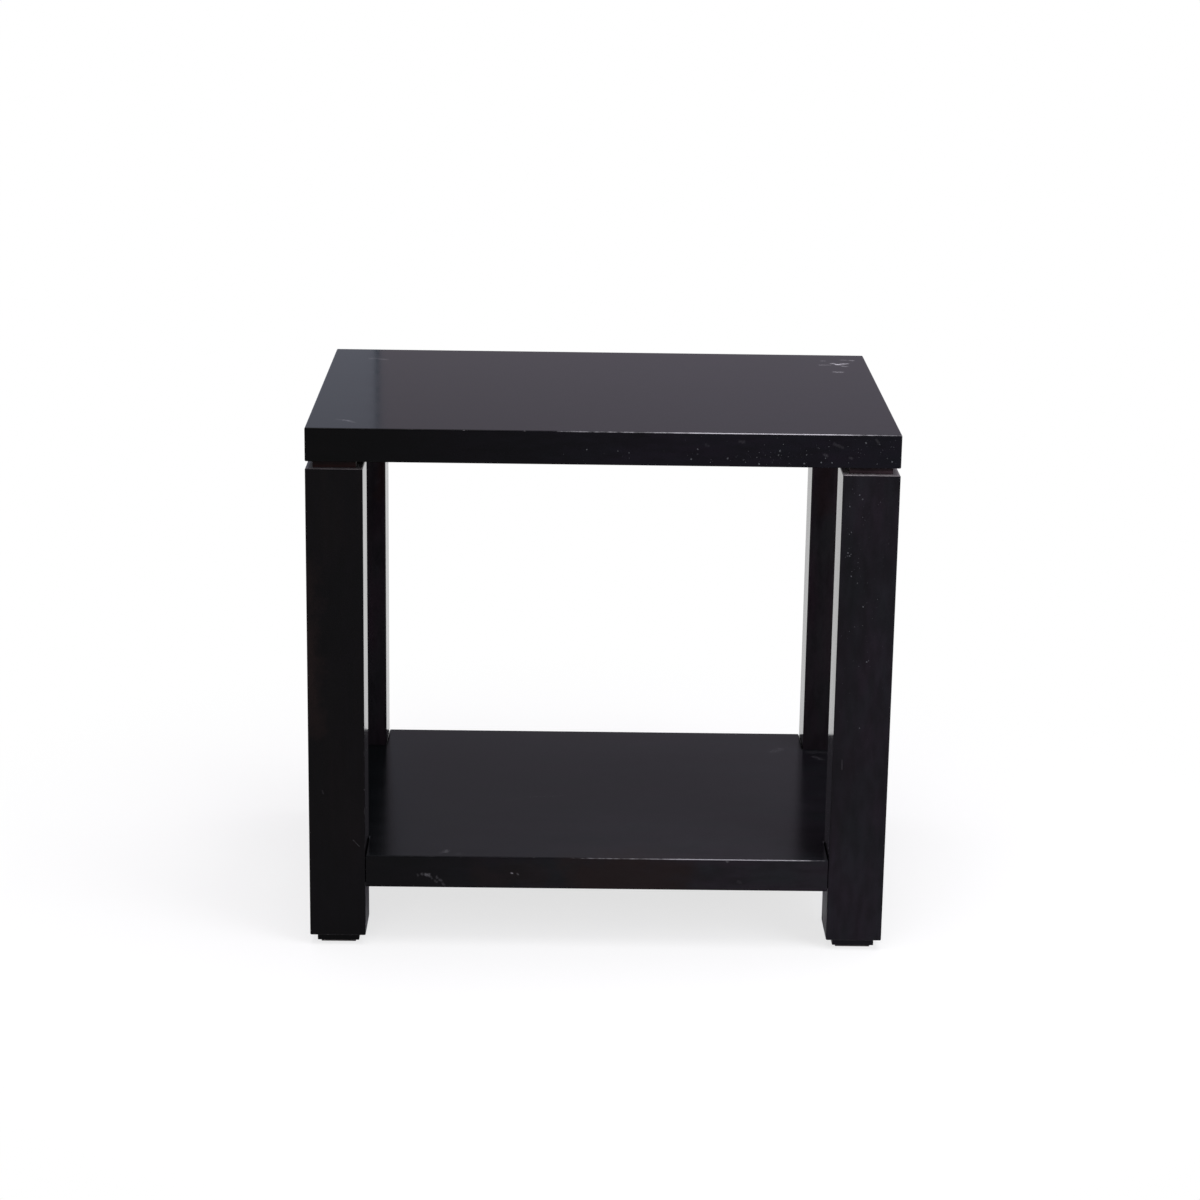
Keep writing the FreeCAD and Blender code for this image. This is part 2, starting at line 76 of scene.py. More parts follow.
class Grain(Enum):
    """The way the grain runs, as the scale of a pattern along each axis."""

    ALONG_X = (1.0, 30.0, 30.0)
    ALONG_Y = (30.0, 1.0, 30.0)
    ALONG_Z = (30.0, 30.0, 1.0)

    def drawn(self) -> Point:
        """The same way at a gentler stretch, for clouds that a cloth has drawn along it."""
        return tuple(DRAWN_OUT if scale == 1.0 else 1.0 for scale in self.value)


class Axis(Enum):
    """An axis of the row frame."""

    X = 0
    Y = 1
    Z = 2


# Node helpers


@dataclass(frozen=True)
class Noise:
    """A noise pattern: features in each unit, octaves of finer noise, and the share of each octave."""

    scale: float
    detail: float = 3.0
    rough: float = 0.55


@dataclass(frozen=True)
class Bump:
    """How a pattern stands out: its share, 0 to 1, and its height in metres."""

    strength: float
    depth: float


class Bench:
    """A node tree that is being put together."""

    tree: bpy.types.NodeTree

    def feed(self, socket: Socket, value: object) -> None:
        """Links a socket to another, or sets its plain value.

        Args:
            socket: The input.
            value: An output socket, or a plain value.
        """
        if isinstance(value, Socket):
            self.tree.links.new(value, socket)
        else:
            socket.default_value = value

    def node(self, kind: str, inputs: Inputs | None = None, **settings: object) -> Node:
        """Adds a node.

        Args:
            kind: Blender's name for its type.
            inputs: What its sockets take, by their names or numbers.
            settings: Its own properties.

        Returns:
            The node.
        """
        made = self.tree.nodes.new(kind)
        for key, value in settings.items():
            setattr(made, key, value)
        for key, value in (inputs or {}).items():
            self.feed(made.inputs[key], value)
        return made

    def maths(self, work: str, *values: Value) -> Socket:
        """One sum of a Math node."""
        return self.node("ShaderNodeMath", dict(enumerate(values)), operation=work).outputs[0]

    def vector(self, work: str, out: str, *values: Value) -> Socket:
        """One sum of a Vector Math node, read at the output of that name."""
        return self.node("ShaderNodeVectorMath", dict(enumerate(values)), operation=work).outputs[out]


class NodeBench(Bench):
    """A material's node tree, with one short method for each kind of node it needs."""

    MIDDLE = (0.25, 0.75)
    SKIN = (0.0009, 0.0001)
    MIX_INPUTS = (0, 6, 7)
    MIX_RESULT = 2

    def __init__(self, name: str) -> None:
        """Starts a material with its Principled shader.

        Args:
            name: The material's name.
        """
        self.material = bpy.data.materials.new(name)
        self.material.use_nodes = True
        self.tree = self.material.node_tree
        self.shader = self.tree.nodes["Principled BSDF"]
        self.place = self.node("ShaderNodeTexCoord").outputs["Object"]

    def set(self, **values: Value) -> None:
        """Feeds the shader's sockets, named with underscores for spaces."""
        for key, value in values.items():
            self.feed(self.shader.inputs[key.replace("_", " ")], value)

    def show(self, surface: Socket) -> Material:
        """Puts another shader in the Principled one's place.

        Args:
            surface: The other shader's output.

        Returns:
            The material.
        """
        self.feed(self.tree.nodes["Material Output"].inputs["Surface"], surface)
        self.tree.nodes.remove(self.shader)
        return self.material

    def stretched(self, scale: Point) -> Socket:
        """Object coordinates, scaled along each axis."""
        return self.node("ShaderNodeMapping", {"Vector": self.place, "Scale": scale}).outputs["Vector"]

    def noise(self, kind: Noise, vector: Socket | None = None) -> Socket:
        """A noise pattern about 0.5.

        Args:
            kind: The pattern.
            vector: Coordinates to read, Object coordinates if none.

        Returns:
            The pattern's value socket.
        """
        place = self.place if vector is None else vector
        inputs = {"Vector": place, "Scale": kind.scale, "Detail": kind.detail, "Roughness": kind.rough}
        return self.node("ShaderNodeTexNoise", inputs).outputs["Fac"]

    def cells(self, scale: float) -> Socket:
        """Distance to the nearest of scattered points."""
        return self.node("ShaderNodeTexVoronoi", {"Vector": self.place, "Scale": scale}).outputs["Distance"]

    def sum_of(self, *values: Value) -> Value:
        """Several values added."""
        return reduce(lambda first, second: self.maths("ADD", first, second), values)

    def product(self, *values: Value) -> Value:
        """Several values multiplied."""
        return reduce(lambda first, second: self.maths("MULTIPLY", first, second), values)

    def step(self, value: Value, low: float, high: float, start: float = 0.0, end: float = 1.0) -> Socket:
        """A smooth step from start to end, as value goes from low to high."""
        inputs = dict(enumerate((value, low, high, start, end)))
        return self.node("ShaderNodeMapRange", inputs, interpolation_type="SMOOTHSTEP").outputs[0]

    def spread(self, value: Value, start: float, end: float) -> Socket:
        """A pattern's middle range spread from start to end."""
        return self.step(value, *self.MIDDLE, start, end)

    def blend(self, share: Value, first: Value, second: Value) -> Socket:
        """Two colours mixed.

        Args:
            share: How much of the second there is.
            first: A colour, or the socket of one.
            second: The other.

        Returns:
            The colour socket.
        """
        one, two = [(*item, 1.0) if isinstance(item, tuple) else item for item in (first, second)]
        inputs = dict(zip(self.MIX_INPUTS, (share, one, two)))
        return self.node("ShaderNodeMix", inputs, data_type="RGBA").outputs[self.MIX_RESULT]

    def axis(self, which: Axis) -> Socket:
        """One of the Object coordinates."""
        return self.node("ShaderNodeSeparateXYZ", {0: self.place}).outputs[which.value]

    def lying_at(self, level: float, shows: float = 1.0) -> Socket:
        """Whatever looks up at that level, as a value from 0 to shows."""
        return self.step(self.axis(Axis.Z), level - self.SKIN[0], level - self.SKIN[1], 0.0, shows)

    def painted(self, name: str) -> Socket:
        """A value that the piece's own mesh carries."""
        return self.node("ShaderNodeAttribute", attribute_name=name).outputs["Fac"]

    def bumped(self, height: Value, bump: Bump, under: Socket | None = None) -> Socket:
        """A bumped normal.

        Args:
            height: The pattern.
            bump: How it stands out.
            under: A normal that this one is added to.

        Returns:
            The normal socket.
        """
        inputs = {"Strength": bump.strength, "Distance": bump.depth, "Height": height}
        if under is not None:
            inputs["Normal"] = under
        return self.node("ShaderNodeBump", inputs).outputs["Normal"]


# Marks


@dataclass(frozen=True)
class Scratch:
    """A ragged rub along a line: its ends and half width in metres, and how much it shows."""

    start: Point
    end: Point
    width: float
    shows: float

    FEATURES = 0.9
    FRAY = 2.4
    EDGE = (2.3, 1.3)
    RAGGED = (4.0, 0.68)

    def mask(self, bench: NodeBench) -> Socket:
        """The scratch as a value from 0 to 1.

        Args:
            bench: The material it is drawn in.

        Returns:
            The value socket.
        """
        run = Vector(self.end) - Vector(self.start)
        offset = bench.vector("SUBTRACT", "Vector", bench.place, self.start)
        along = bench.vector("DOT_PRODUCT", "Value", offset, tuple(run / run.length_squared))
        held = bench.node("ShaderNodeClamp", {0: along}).outputs[0]
        nearest = bench.node("ShaderNodeVectorMath", {0: run, "Scale": held}, operation="SCALE").outputs[0]
        distance = bench.vector("LENGTH", "Value", bench.vector("SUBTRACT", "Vector", offset, nearest))
        ragged = bench.noise(Noise(self.FEATURES / self.width, *self.RAGGED))
        wide = bench.maths("MULTIPLY_ADD", ragged, self.width * self.FRAY, distance)
        return bench.step(wide, *(self.width * edge for edge in self.EDGE), 0.0, self.shows)


def rubs_on_level(level: float, rows: Sequence[Row]) -> tuple[Scratch, ...]:
    """Rubs on a face that looks up.

    Args:
        level: The face's height in metres.
        rows: For each rub x, y, x, y and half width in millimetres, and how much it shows.

    Returns:
        The rubs, in the same order.
    """
    return tuple(
        Scratch((x0 * MM, y0 * MM, level), (x1 * MM, y1 * MM, level), width * MM, shows)
        for x0, y0, x1, y1, width, shows in rows
    )


def rubs_on_front(face: float, rows: Sequence[Row]) -> tuple[Scratch, ...]:
    """Rubs on a face that looks forward.

    Args:
        face: The face's place along Y in metres.
        rows: For each rub x, z, x, z and half width in millimetres, and how much it shows.

    Returns:
        The rubs, in the same order.
    """
    return tuple(
        Scratch((x0 * MM, face, z0 * MM), (x1 * MM, face, z1 * MM), width * MM, shows)
        for x0, z0, x1, z1, width, shows in rows
    )


@dataclass(frozen=True)
class RubAndHighlight:
    """A front arris worn pale and painted with a highlight, brightest right of centre: its level, the runs
    along X where that grows and fades, its shares.
    """

    level: float
    begins: Span
    grows: Span
    fades: Span
    left: float
    shows: float
    faint: float = 0.43
    front: float = FRONT
    reach: float = 0.0015

    BREAKS = Noise(140.0, 5.0)
    BREAK_SPREAD = (-0.2, 0.2)
    WHOLE = (0.15, 1.05)
    BEYOND = 1.5
    ROUND = (0.0, 0.5)

    def mask(self, bench: NodeBench) -> Socket:
        """The worn line with its painted highlight as a value from 0 to 1, whole where it is strong and
        dotted where it is weak.

        Args:
            bench: The material it is drawn in.

        Returns:
            The value socket.
        """
        # Painted highlight and wear along the front arris, strongest right of centre.
        along = bench.axis(Axis.X)
        faint = bench.step(along, *self.begins, 0.0, self.faint)
        strong = bench.step(along, *self.grows, 0.0, 1.0 - self.faint)
        run = bench.product(bench.sum_of(faint, strong), bench.step(along, *self.fades, 1.0, self.left))
        broken = bench.spread(bench.noise(self.BREAKS), *self.BREAK_SPREAD)
        line = bench.step(bench.sum_of(run, broken), *self.WHOLE, 0.0, self.shows)
        far = self.reach * self.BEYOND
        upper = bench.step(bench.axis(Axis.Z), self.level - far, self.level - self.reach)
        near = bench.step(bench.axis(Axis.Y), self.front + far, self.front + self.reach)
        round_it = bench.step(bench.painted("arris"), *self.ROUND)
        return bench.product(line, bench.product(upper, near, round_it))


# Finishes


@dataclass(frozen=True)
class LacquerFinish:
    """Near-black semi-gloss lacquer over an espresso stain, worn along its edges, with a painted highlight
    along its front arris.

    Scratches are pale, thin patches let the stain through and wiped ones have lost their film of dust.
    Splashed is how much thicker the film is near the floor, and the film grows towards the right as painted
    light from that side. Ledge is a level where dust lies, with a painted highlight towards the right, and
    veiled is a level where dust lies.
    """

    name: str
    grain: Grain
    scratches: tuple[Scratch, ...] = ()
    thin: tuple[Scratch, ...] = ()
    rub_and_highlight: RubAndHighlight | None = None
    wiped: tuple[Scratch, ...] = ()
    splashed: float = 0.0
    ledge: float | None = None
    veiled: float | None = None
    stained: float = 0.5
    black: Colour = (0.0008, 0.0007, 0.0009)
    brown: Colour = (0.0080, 0.0045, 0.0043)
    film: Colour = (0.0061, 0.0052, 0.0077)
    film_and_light_share: Span = (0.05, 0.95)
    film_and_light_run: Span = (-0.32, 0.19)
    gloss: float = 0.10
    wear: float = 0.05
    pale_wear_and_highlight: Colour = (0.74, 0.72, 0.77)
    bare: Colour = (0.085, 0.080, 0.086)
    dust: Colour = (0.30, 0.275, 0.285)
    index: float = 1.14

    STREAKS = Noise(2.6, 6.0, 0.62)
    STREAK_SPREAD = (-0.16, 0.2)
    CLOUDS = Noise(5.0, 2.0)
    CLOUD_SPREAD = (-0.25, 0.25)
    PORES = Noise(14.0, 3.0, 0.6)
    PORE_DULL = (0.0, 0.02)
    PORE_BUMP = Bump(0.10, 0.0002)
    PEEL = Noise(620.0, 2.0)
    PEEL_BUMP = Bump(0.05, 0.0001)
    HAZE = Noise(26.0, 4.0)
    HAZE_DULL = 0.04
    HAZE_FILM = (0.82, 1.14)
    HAZE_VEIL = (0.8, 1.2)
    FINE_HAZE = Noise(120.0, 4.0)
    FINE_FILM = (0.72, 1.28)
    SPLASH_REACH = (0.18, 0.06)
    PURPLE = (1.10, 0.92, 1.02)
    SLATE = (0.88, 1.06, 0.98)
    DRIFT = Noise(38.0)
    CHIPPED = (0.25, 0.7, 0.0, 0.6)
    BITS = Noise(95.0, 5.0)
    BIT_SPREAD = (-0.75, 0.25)
    BIT_EDGE = (0.85, 1.15)
    GRIT = Noise(760.0, 4.0, 0.75)
    GRIT_SPREAD = (0.2, 1.6)
    MARKS_DULL = 0.4
    VEIL = 0.011
    VEIL_RUN = (-0.1, 0.27, 1.0, 0.6)
    LEDGE_DUST_AND_HIGHLIGHT_RUN = (-0.3, 0.3, 0.21, 0.80)
    LEDGE_NOISE = Noise(130.0)
    LEDGE_SPREAD = (0.6, 1.0)

    def make(self) -> Material:
        """Mixes the finish.

        Returns:
            The material.
        """
        bench = NodeBench(self.name)
        pores = bench.noise(self.PORES, bench.stretched(self.grain.value))
        haze = bench.noise(self.HAZE, bench.stretched(self.grain.drawn()))
        marks = self._marks(bench)
        # The pale marks are wear, and along the front arris also a painted highlight.
        colour = bench.blend(marks, self._coat(bench, haze), self.pale_wear_and_highlight)
        if self.ledge is not None:
            # The ledge takes the dust colour, as dust and a painted highlight.
            ledge_dust_and_highlight = self._ledge_dust_and_highlight(bench, self.ledge)
            colour = bench.blend(ledge_dust_and_highlight, colour, self.dust)
            marks = bench.maths("MAXIMUM", marks, ledge_dust_and_highlight)
        hazy = bench.spread(haze, self.gloss, self.gloss + self.HAZE_DULL)
        gloss = bench.sum_of(hazy, bench.spread(pores, *self.PORE_DULL))
        rough = bench.maths("MULTIPLY_ADD", marks, self.MARKS_DULL, gloss)
        grain = bench.bumped(pores, self.PORE_BUMP)
        bench.set(Base_Color=colour, Roughness=rough, IOR=self.index)
        bench.set(Normal=bench.bumped(bench.noise(self.PEEL), self.PEEL_BUMP, grain))
        return bench.material

    def _coat(self, bench: NodeBench, haze: Socket) -> Socket:
        """The stain, the film over it with its painted light, and what has gone through them.

        Args:
            bench: The material.
            haze: The film's clouds.

        Returns:
            The colour socket.
        """
        streaks = bench.noise(self.STREAKS, bench.stretched(self.grain.value))
        cloudy = bench.spread(bench.noise(self.CLOUDS), *self.CLOUD_SPREAD)
        stain = bench.sum_of(bench.spread(streaks, *self.STREAK_SPREAD), cloudy)
        colour = bench.blend(bench.step(stain, 0.0, 1.0, 0.0, self.stained), self.black, self.brown)
        colour = bench.blend(self._film_and_painted_light(bench, haze), colour, self._film_colour(bench))
        if self.thin:
            colour = bench.blend(self._patches(bench, self.thin), colour, self.brown)
        if self.veiled is not None:
            colour = bench.blend(self._veil(bench, haze, self.veiled), colour, self.dust)
        return bench.blend(bench.step(bench.painted("bare"), *self.CHIPPED), colour, self.bare)

    @staticmethod
    def _patches(bench: NodeBench, patches: Sequence[Scratch]) -> Value:
        """Several patches as one value."""
        return bench.sum_of(*(patch.mask(bench) for patch in patches))

    def _film_and_painted_light(self, bench: NodeBench, haze: Socket) -> Value:
        """A thin cloudy film of dust, which grows towards the right as painted light from that side.

        Args:
            bench: The material.
            haze: Its clouds.

        Returns:
            The film's share.
        """
        # Painted light: the film is lighter towards the right, standing in for light from that side.
        side = bench.step(bench.axis(Axis.X), *self.film_and_light_run, *self.film_and_light_share)
        fine = bench.noise(self.FINE_HAZE, bench.stretched(self.grain.drawn()))
        cloudy = bench.product(bench.spread(haze, *self.HAZE_FILM), bench.spread(fine, *self.FINE_FILM))
        film = bench.product(side, cloudy)
        if self.splashed:
            low = bench.step(bench.axis(Axis.Z), *self.SPLASH_REACH, 1.0, 1.0 + self.splashed)
            film = bench.product(film, low)
        if self.wiped:
            clean = self._patches(bench, self.wiped)
            film = bench.product(film, bench.maths("SUBTRACT", 1.0, clean))
        return film

    def _film_colour(self, bench: NodeBench) -> Socket:
        """The film's colour, wandering between purple and slate.

        Args:
            bench: The material.

        Returns:
            The colour socket.
        """
        tints = (self.PURPLE, self.SLATE)
        purple, slate = (tuple(c * t for c, t in zip(self.film, tint)) for tint in tints)
        drift = bench.noise(self.DRIFT, bench.stretched(self.grain.drawn()))
        return bench.blend(bench.spread(drift, 0.0, 1.0), purple, slate)

    def _veil(self, bench: NodeBench, haze: Socket, level: float) -> Value:
        """The thinnest even dust, only on what looks up at that level."""
        side = bench.step(bench.axis(Axis.X), *self.VEIL_RUN)
        return bench.product(bench.lying_at(level, self.VEIL), side, bench.spread(haze, *self.HAZE_VEIL))

    def _ledge_dust_and_highlight(self, bench: NodeBench, level: float) -> Value:
        """Fine dust on a ledge at that level, with a painted highlight that grows towards the right.

        Args:
            bench: The material.
            level: The ledge's height.

        Returns:
            The share of dust and painted highlight.
        """
        side = bench.step(bench.axis(Axis.X), *self.LEDGE_DUST_AND_HIGHLIGHT_RUN)
        broken = bench.spread(bench.noise(self.LEDGE_NOISE), *self.LEDGE_SPREAD)
        return bench.product(bench.lying_at(level), side, broken)

    def _marks(self, bench: NodeBench) -> Socket:
        """Pale marks: bits along every arris, the worn front arris with its painted highlight, and the
        scuffs.

        Args:
            bench: The material.

        Returns:
            Their share.
        """
        broken = bench.spread(bench.noise(self.BITS), *self.BIT_SPREAD)
        bits = bench.sum_of(bench.painted("arris"), broken)
        marks = bench.step(bits, *self.BIT_EDGE, 0.0, self.wear)
        if self.rub_and_highlight is not None:
            marks = bench.maths("MAXIMUM", marks, self.rub_and_highlight.mask(bench))
        if self.scratches:
            scuffs = self._patches(bench, self.scratches)
            grit = bench.spread(bench.noise(self.GRIT), *self.GRIT_SPREAD)
            marks = bench.maths("MAXIMUM", marks, bench.product(scuffs, grit))
        return marks


@dataclass(frozen=True)
class StainFinish:
    """Reddish-brown stained wood with a satin face, lighter and greyer towards the right as dust and
    painted light, and with painted shade under a board.
    """

    name: str = "espresso_stain"
    dark: Colour = (0.0036, 0.0026, 0.0028)
    red: Colour = (0.041, 0.0160, 0.0145)
    dusty_and_lit: Colour = (0.036, 0.0230, 0.0280)
    under: float = 0.572
    painted_shade_depth: float = 0.006
    index: float = 1.12

    STREAKS = Noise(5.0, 6.0, 0.65)
    STREAK_SPREAD = (0.0, 0.8)
    PATCHES = Noise(26.0, 2.0)
    PATCH_SPREAD = (-0.2, 0.2)
    PORES = Noise(22.0)
    PORE_BUMP = Bump(0.2, 0.0002)
    SATIN = (0.42, 0.56)
    SIDE_RUN = (-0.3, 0.3)
    SIDE_SHARE = (0.3, 1.0)
    PAINTED_SHADE_SHARE = (0.3, 1.1)

    def make(self) -> Material:
        """Mixes the finish.

        Returns:
            The material.
        """
        bench = NodeBench(self.name)
        streaks = bench.noise(self.STREAKS, bench.stretched(Grain.ALONG_X.value))
        pores = bench.noise(self.PORES, bench.stretched(Grain.ALONG_X.value))
        patches = bench.spread(bench.noise(self.PATCHES), *self.PATCH_SPREAD)
        share = bench.sum_of(bench.spread(streaks, *self.STREAK_SPREAD), patches)
        # Painted light: lighter and greyer towards the right, along with dust.
        side = bench.step(bench.axis(Axis.X), *self.SIDE_RUN)
        # Painted shade: darker at the top, under the board.
        corner = bench.step(bench.axis(Axis.Z), self.under, self.under - self.painted_shade_depth, *self.PAINTED_SHADE_SHARE)
        shows = bench.product(share, corner, bench.step(side, 0.0, 1.0, *self.SIDE_SHARE))
        bench.set(Base_Color=bench.blend(shows, self.dark, bench.blend(side, self.red, self.dusty_and_lit)))
        bench.set(Roughness=bench.spread(pores, *self.SATIN), IOR=self.index)
        bench.set(Normal=bench.bumped(pores, self.PORE_BUMP))
        return bench.material


@dataclass(frozen=True)
class CoreWoodFinish:
    """Unfinished softwood with early and late growth bands."""

    name: str = "softwood_core"
    early: Colour = (0.56, 0.40, 0.235)
    late: Colour = (0.36, 0.21, 0.10)

    BAND_STRETCH = (6.0, 55.0, 55.0)
    BAND_WANDER = 5.0
    BAND_DETAIL = 3.0
    BAND_SHARE = 0.55
    FIBRE = Noise(9.0, 4.0)
    FIBRE_STRETCH = (4.0, 160.0, 160.0)
    FIBRE_SPREAD = (-0.1, 0.35)
    FIBRE_BUMP = Bump(0.3, 0.0003)
    MATT = (0.62, 0.8)

    def make(self) -> Material:
        """Mixes the finish.

        Returns:
            The material.
        """
        bench = NodeBench(self.name)
        inputs = {
            "Vector": bench.stretched(self.BAND_STRETCH),
            "Distortion": self.BAND_WANDER,
            "Detail": self.BAND_DETAIL,
        }
        bands = bench.node("ShaderNodeTexWave", inputs, bands_direction="DIAGONAL").outputs["Fac"]
        fibre = bench.noise(self.FIBRE, bench.stretched(self.FIBRE_STRETCH))
        share = bench.sum_of(bench.product(bands, self.BAND_SHARE), bench.spread(fibre, *self.FIBRE_SPREAD))
        bench.set(Base_Color=bench.blend(share, self.early, self.late))
        bench.set(Roughness=bench.spread(fibre, *self.MATT))
        bench.set(Normal=bench.bumped(fibre, self.FIBRE_BUMP))
        return bench.material


@dataclass(frozen=True)
class PowderCoatFinish:
    """Black powder coat with its fine orange peel."""

    name: str = "powder_coat"
    dark: Colour = (0.014, 0.014, 0.015)
    light: Colour = (0.030, 0.030, 0.032)

    GRAINS = 1500.0
    GRAIN_BUMP = Bump(0.25, 0.0002)
    SMEARS = Noise(60.0, 4.0)
    SATIN = (0.38, 0.52)

    def make(self) -> Material:
        """Mixes the finish.

        Returns:
            The material.
        """
        bench = NodeBench(self.name)
        smears = bench.noise(self.SMEARS)
        bench.set(Base_Color=bench.blend(bench.spread(smears, 0.0, 1.0), self.dark, self.light))
        bench.set(Roughness=bench.spread(smears, *self.SATIN))
        bench.set(Normal=bench.bumped(bench.cells(self.GRAINS), self.GRAIN_BUMP))
        return bench.material


@dataclass(frozen=True)
class ZincFinish:
    """Zinc-plated steel, dulled in patches."""

    name: str = "zinc_plate"
    bright: Colour = (0.66, 0.67, 0.69)
    dull: Colour = (0.42, 0.43, 0.45)

    PATCHES = Noise(240.0, 4.0)
    TURNED = Noise(30.0)
    TURNED_STRETCH = (20.0, 20.0, 220.0)
    TURNED_BUMP = Bump(0.12, 0.0001)
    SHEEN = (0.22, 0.42)

    def make(self) -> Material:
        """Mixes the finish.

        Returns:
            The material.
        """
        bench = NodeBench(self.name)
        patches = bench.spread(bench.noise(self.PATCHES), 0.0, 1.0)
        turned = bench.noise(self.TURNED, bench.stretched(self.TURNED_STRETCH))
        bench.set(Base_Color=bench.blend(patches, self.bright, self.dull), Metallic=1.0)
        bench.set(Roughness=bench.spread(turned, *self.SHEEN))
        bench.set(Normal=bench.bumped(turned, self.TURNED_BUMP))
        return bench.material


@dataclass(frozen=True)
class FeltFinish:
    """Dark pressed felt, mottled by its fibres."""

    name: str = "pressed_felt"
    dark: Colour = (0.022, 0.020, 0.020)
    light: Colour = (0.075, 0.069, 0.067)
    sheen: float = 0.25

    MATTED = Noise(900.0, 5.0, 0.7)
    MATTED_SPREAD = (0.0, 0.7)
    MATTED_BUMP = Bump(0.6, 0.0006)
    CLUMPS = Noise(160.0)
    CLUMP_SPREAD = (-0.1, 0.3)
    MATT = (0.88, 1.0)

    def make(self) -> Material:
        """Mixes the finish.

        Returns:
            The material.
        """
        bench = NodeBench(self.name)
        matted = bench.noise(self.MATTED)
        clumps = bench.spread(bench.noise(self.CLUMPS), *self.CLUMP_SPREAD)
        share = bench.sum_of(bench.spread(matted, *self.MATTED_SPREAD), clumps)
        bench.set(Base_Color=bench.blend(share, self.dark, self.light))
        bench.set(Roughness=bench.spread(matted, *self.MATT), Sheen_Weight=self.sheen)
        bench.set(Normal=bench.bumped(matted, self.MATTED_BUMP))
        return bench.material


@dataclass(frozen=True)
class SpeckFinish:
    """Dried pale spatter on the lacquer."""

    name: str = "dried_spatter"
    pale: Colour = (0.049, 0.051, 0.058)
    grey: Colour = (0.0125, 0.0130, 0.0158)

    MOTTLE = Noise(310.0)
    MATT = (0.5, 0.75)

    def make(self) -> Material:
        """Mixes the finish.

        Returns:
            The material.
        """
        bench = NodeBench(self.name)
        mottle = bench.noise(self.MOTTLE)
        bench.set(Base_Color=bench.blend(bench.spread(mottle, 0.0, 1.0), self.grey, self.pale))
        bench.set(Roughness=bench.spread(mottle, *self.MATT))
        return bench.material


# Pieces and how they are kept


def placed(name: str, data: bpy.types.ID) -> Piece:
    """A new object at the origin, linked to the scene.

    Args:
        name: Its name.
        data: Its mesh, lamp or camera.

    Returns:
        The object.
    """
    made = bpy.data.objects.new(name, data)
    bpy.context.scene.collection.objects.link(made)
    return made


def carrier_of(name: str, points: Sequence[Point], faces: Sequence[Sequence[int]] = ()) -> Piece:
    """A bare mesh, for the stage or for a Geometry Nodes tree to run on.

    Args:
        name: The carrier's name.
        points: Its points.
        faces: Its faces, if it has any.

    Returns:
        The carrier, linked to the scene.
    """
    mesh = bpy.data.meshes.new(name)
    mesh.from_pydata([tuple(p) for p in points], [], [list(f) for f in faces])
    mesh.update()
    return placed(name, mesh)


def panels_of(name: str, panels: Sequence[Sequence[Point]]) -> Piece:
    """A carrier of separate four-cornered panels.

    Args:
        name: The carrier's name.
        panels: Four corners for each panel.

    Returns:
        The carrier, linked to the scene.
    """
    points = [corner for panel in panels for corner in panel]
    return carrier_of(name, points, [range(4 * i, 4 * i + 4) for i in range(len(panels))])


def keep(piece: Piece, nodes: Iterable[str] = ()) -> None:
    """Fixes a finished piece to the table and reports it.

    Args:
        piece: The piece, at the origin.
        nodes: CAD nodes that it stands for.
    """
    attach(piece, BODY)
    stands_for = tuple(nodes)
    if stands_for:
        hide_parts(*stands_for)
    names = ", ".join(stands_for) or "itself"
    log.info("%s: %d faces, for %s", piece.name, len(piece.data.polygons), names)


def dress(nodes: Iterable[str], material: Material) -> None:
    """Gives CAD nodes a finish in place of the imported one.

    Args:
        nodes: The nodes' names.
        material: The finish.
    """
    for name in nodes:
        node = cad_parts[name]
        for place in node.material_slots:
            place.material = material
        if not node.material_slots:
            node.data.materials.append(material)
        log.info("%s: dressed as %s", name, material.name)


# Solids with eased edges


@dataclass(frozen=True)
class Box:
    """A block between two corners, in metres."""

    low: Point
    high: Point


@dataclass(frozen=True)
class Chip:
    """A small knock on an arris: its middle, the way the arris runs, its reach and its depth."""

    middle: Point
    along: Axis
    reach: float
    depth: float


@dataclass(frozen=True)
class Knocks:
    """How many knocks an arris has and where: bias above 1 crowds them towards its end."""

    start: Point
    end: Point
    count: int
    bias: float = 1.0

    REACH = (0.7, 1.9)
    DEPTH_SHARE = (0.08, 0.2)

    def chips(self, dice: random.Random) -> list[Chip]:
        """Knocks along the arris.

        Args:
            dice: The seeded source of their places and sizes.

        Returns:
            The chips, in the order drawn.
        """
        first, last = Vector(self.start), Vector(self.end)
        run = last - first
        along = Axis(max(range(3), key=lambda i: abs(run[i])))
        made = []
        for _ in range(self.count):
            middle = first + run * dice.random() ** (1.0 / self.bias)
            reach = dice.uniform(*self.REACH) * MM
            made.append(Chip(tuple(middle), along, reach, reach * dice.uniform(*self.DEPTH_SHARE)))
        return made


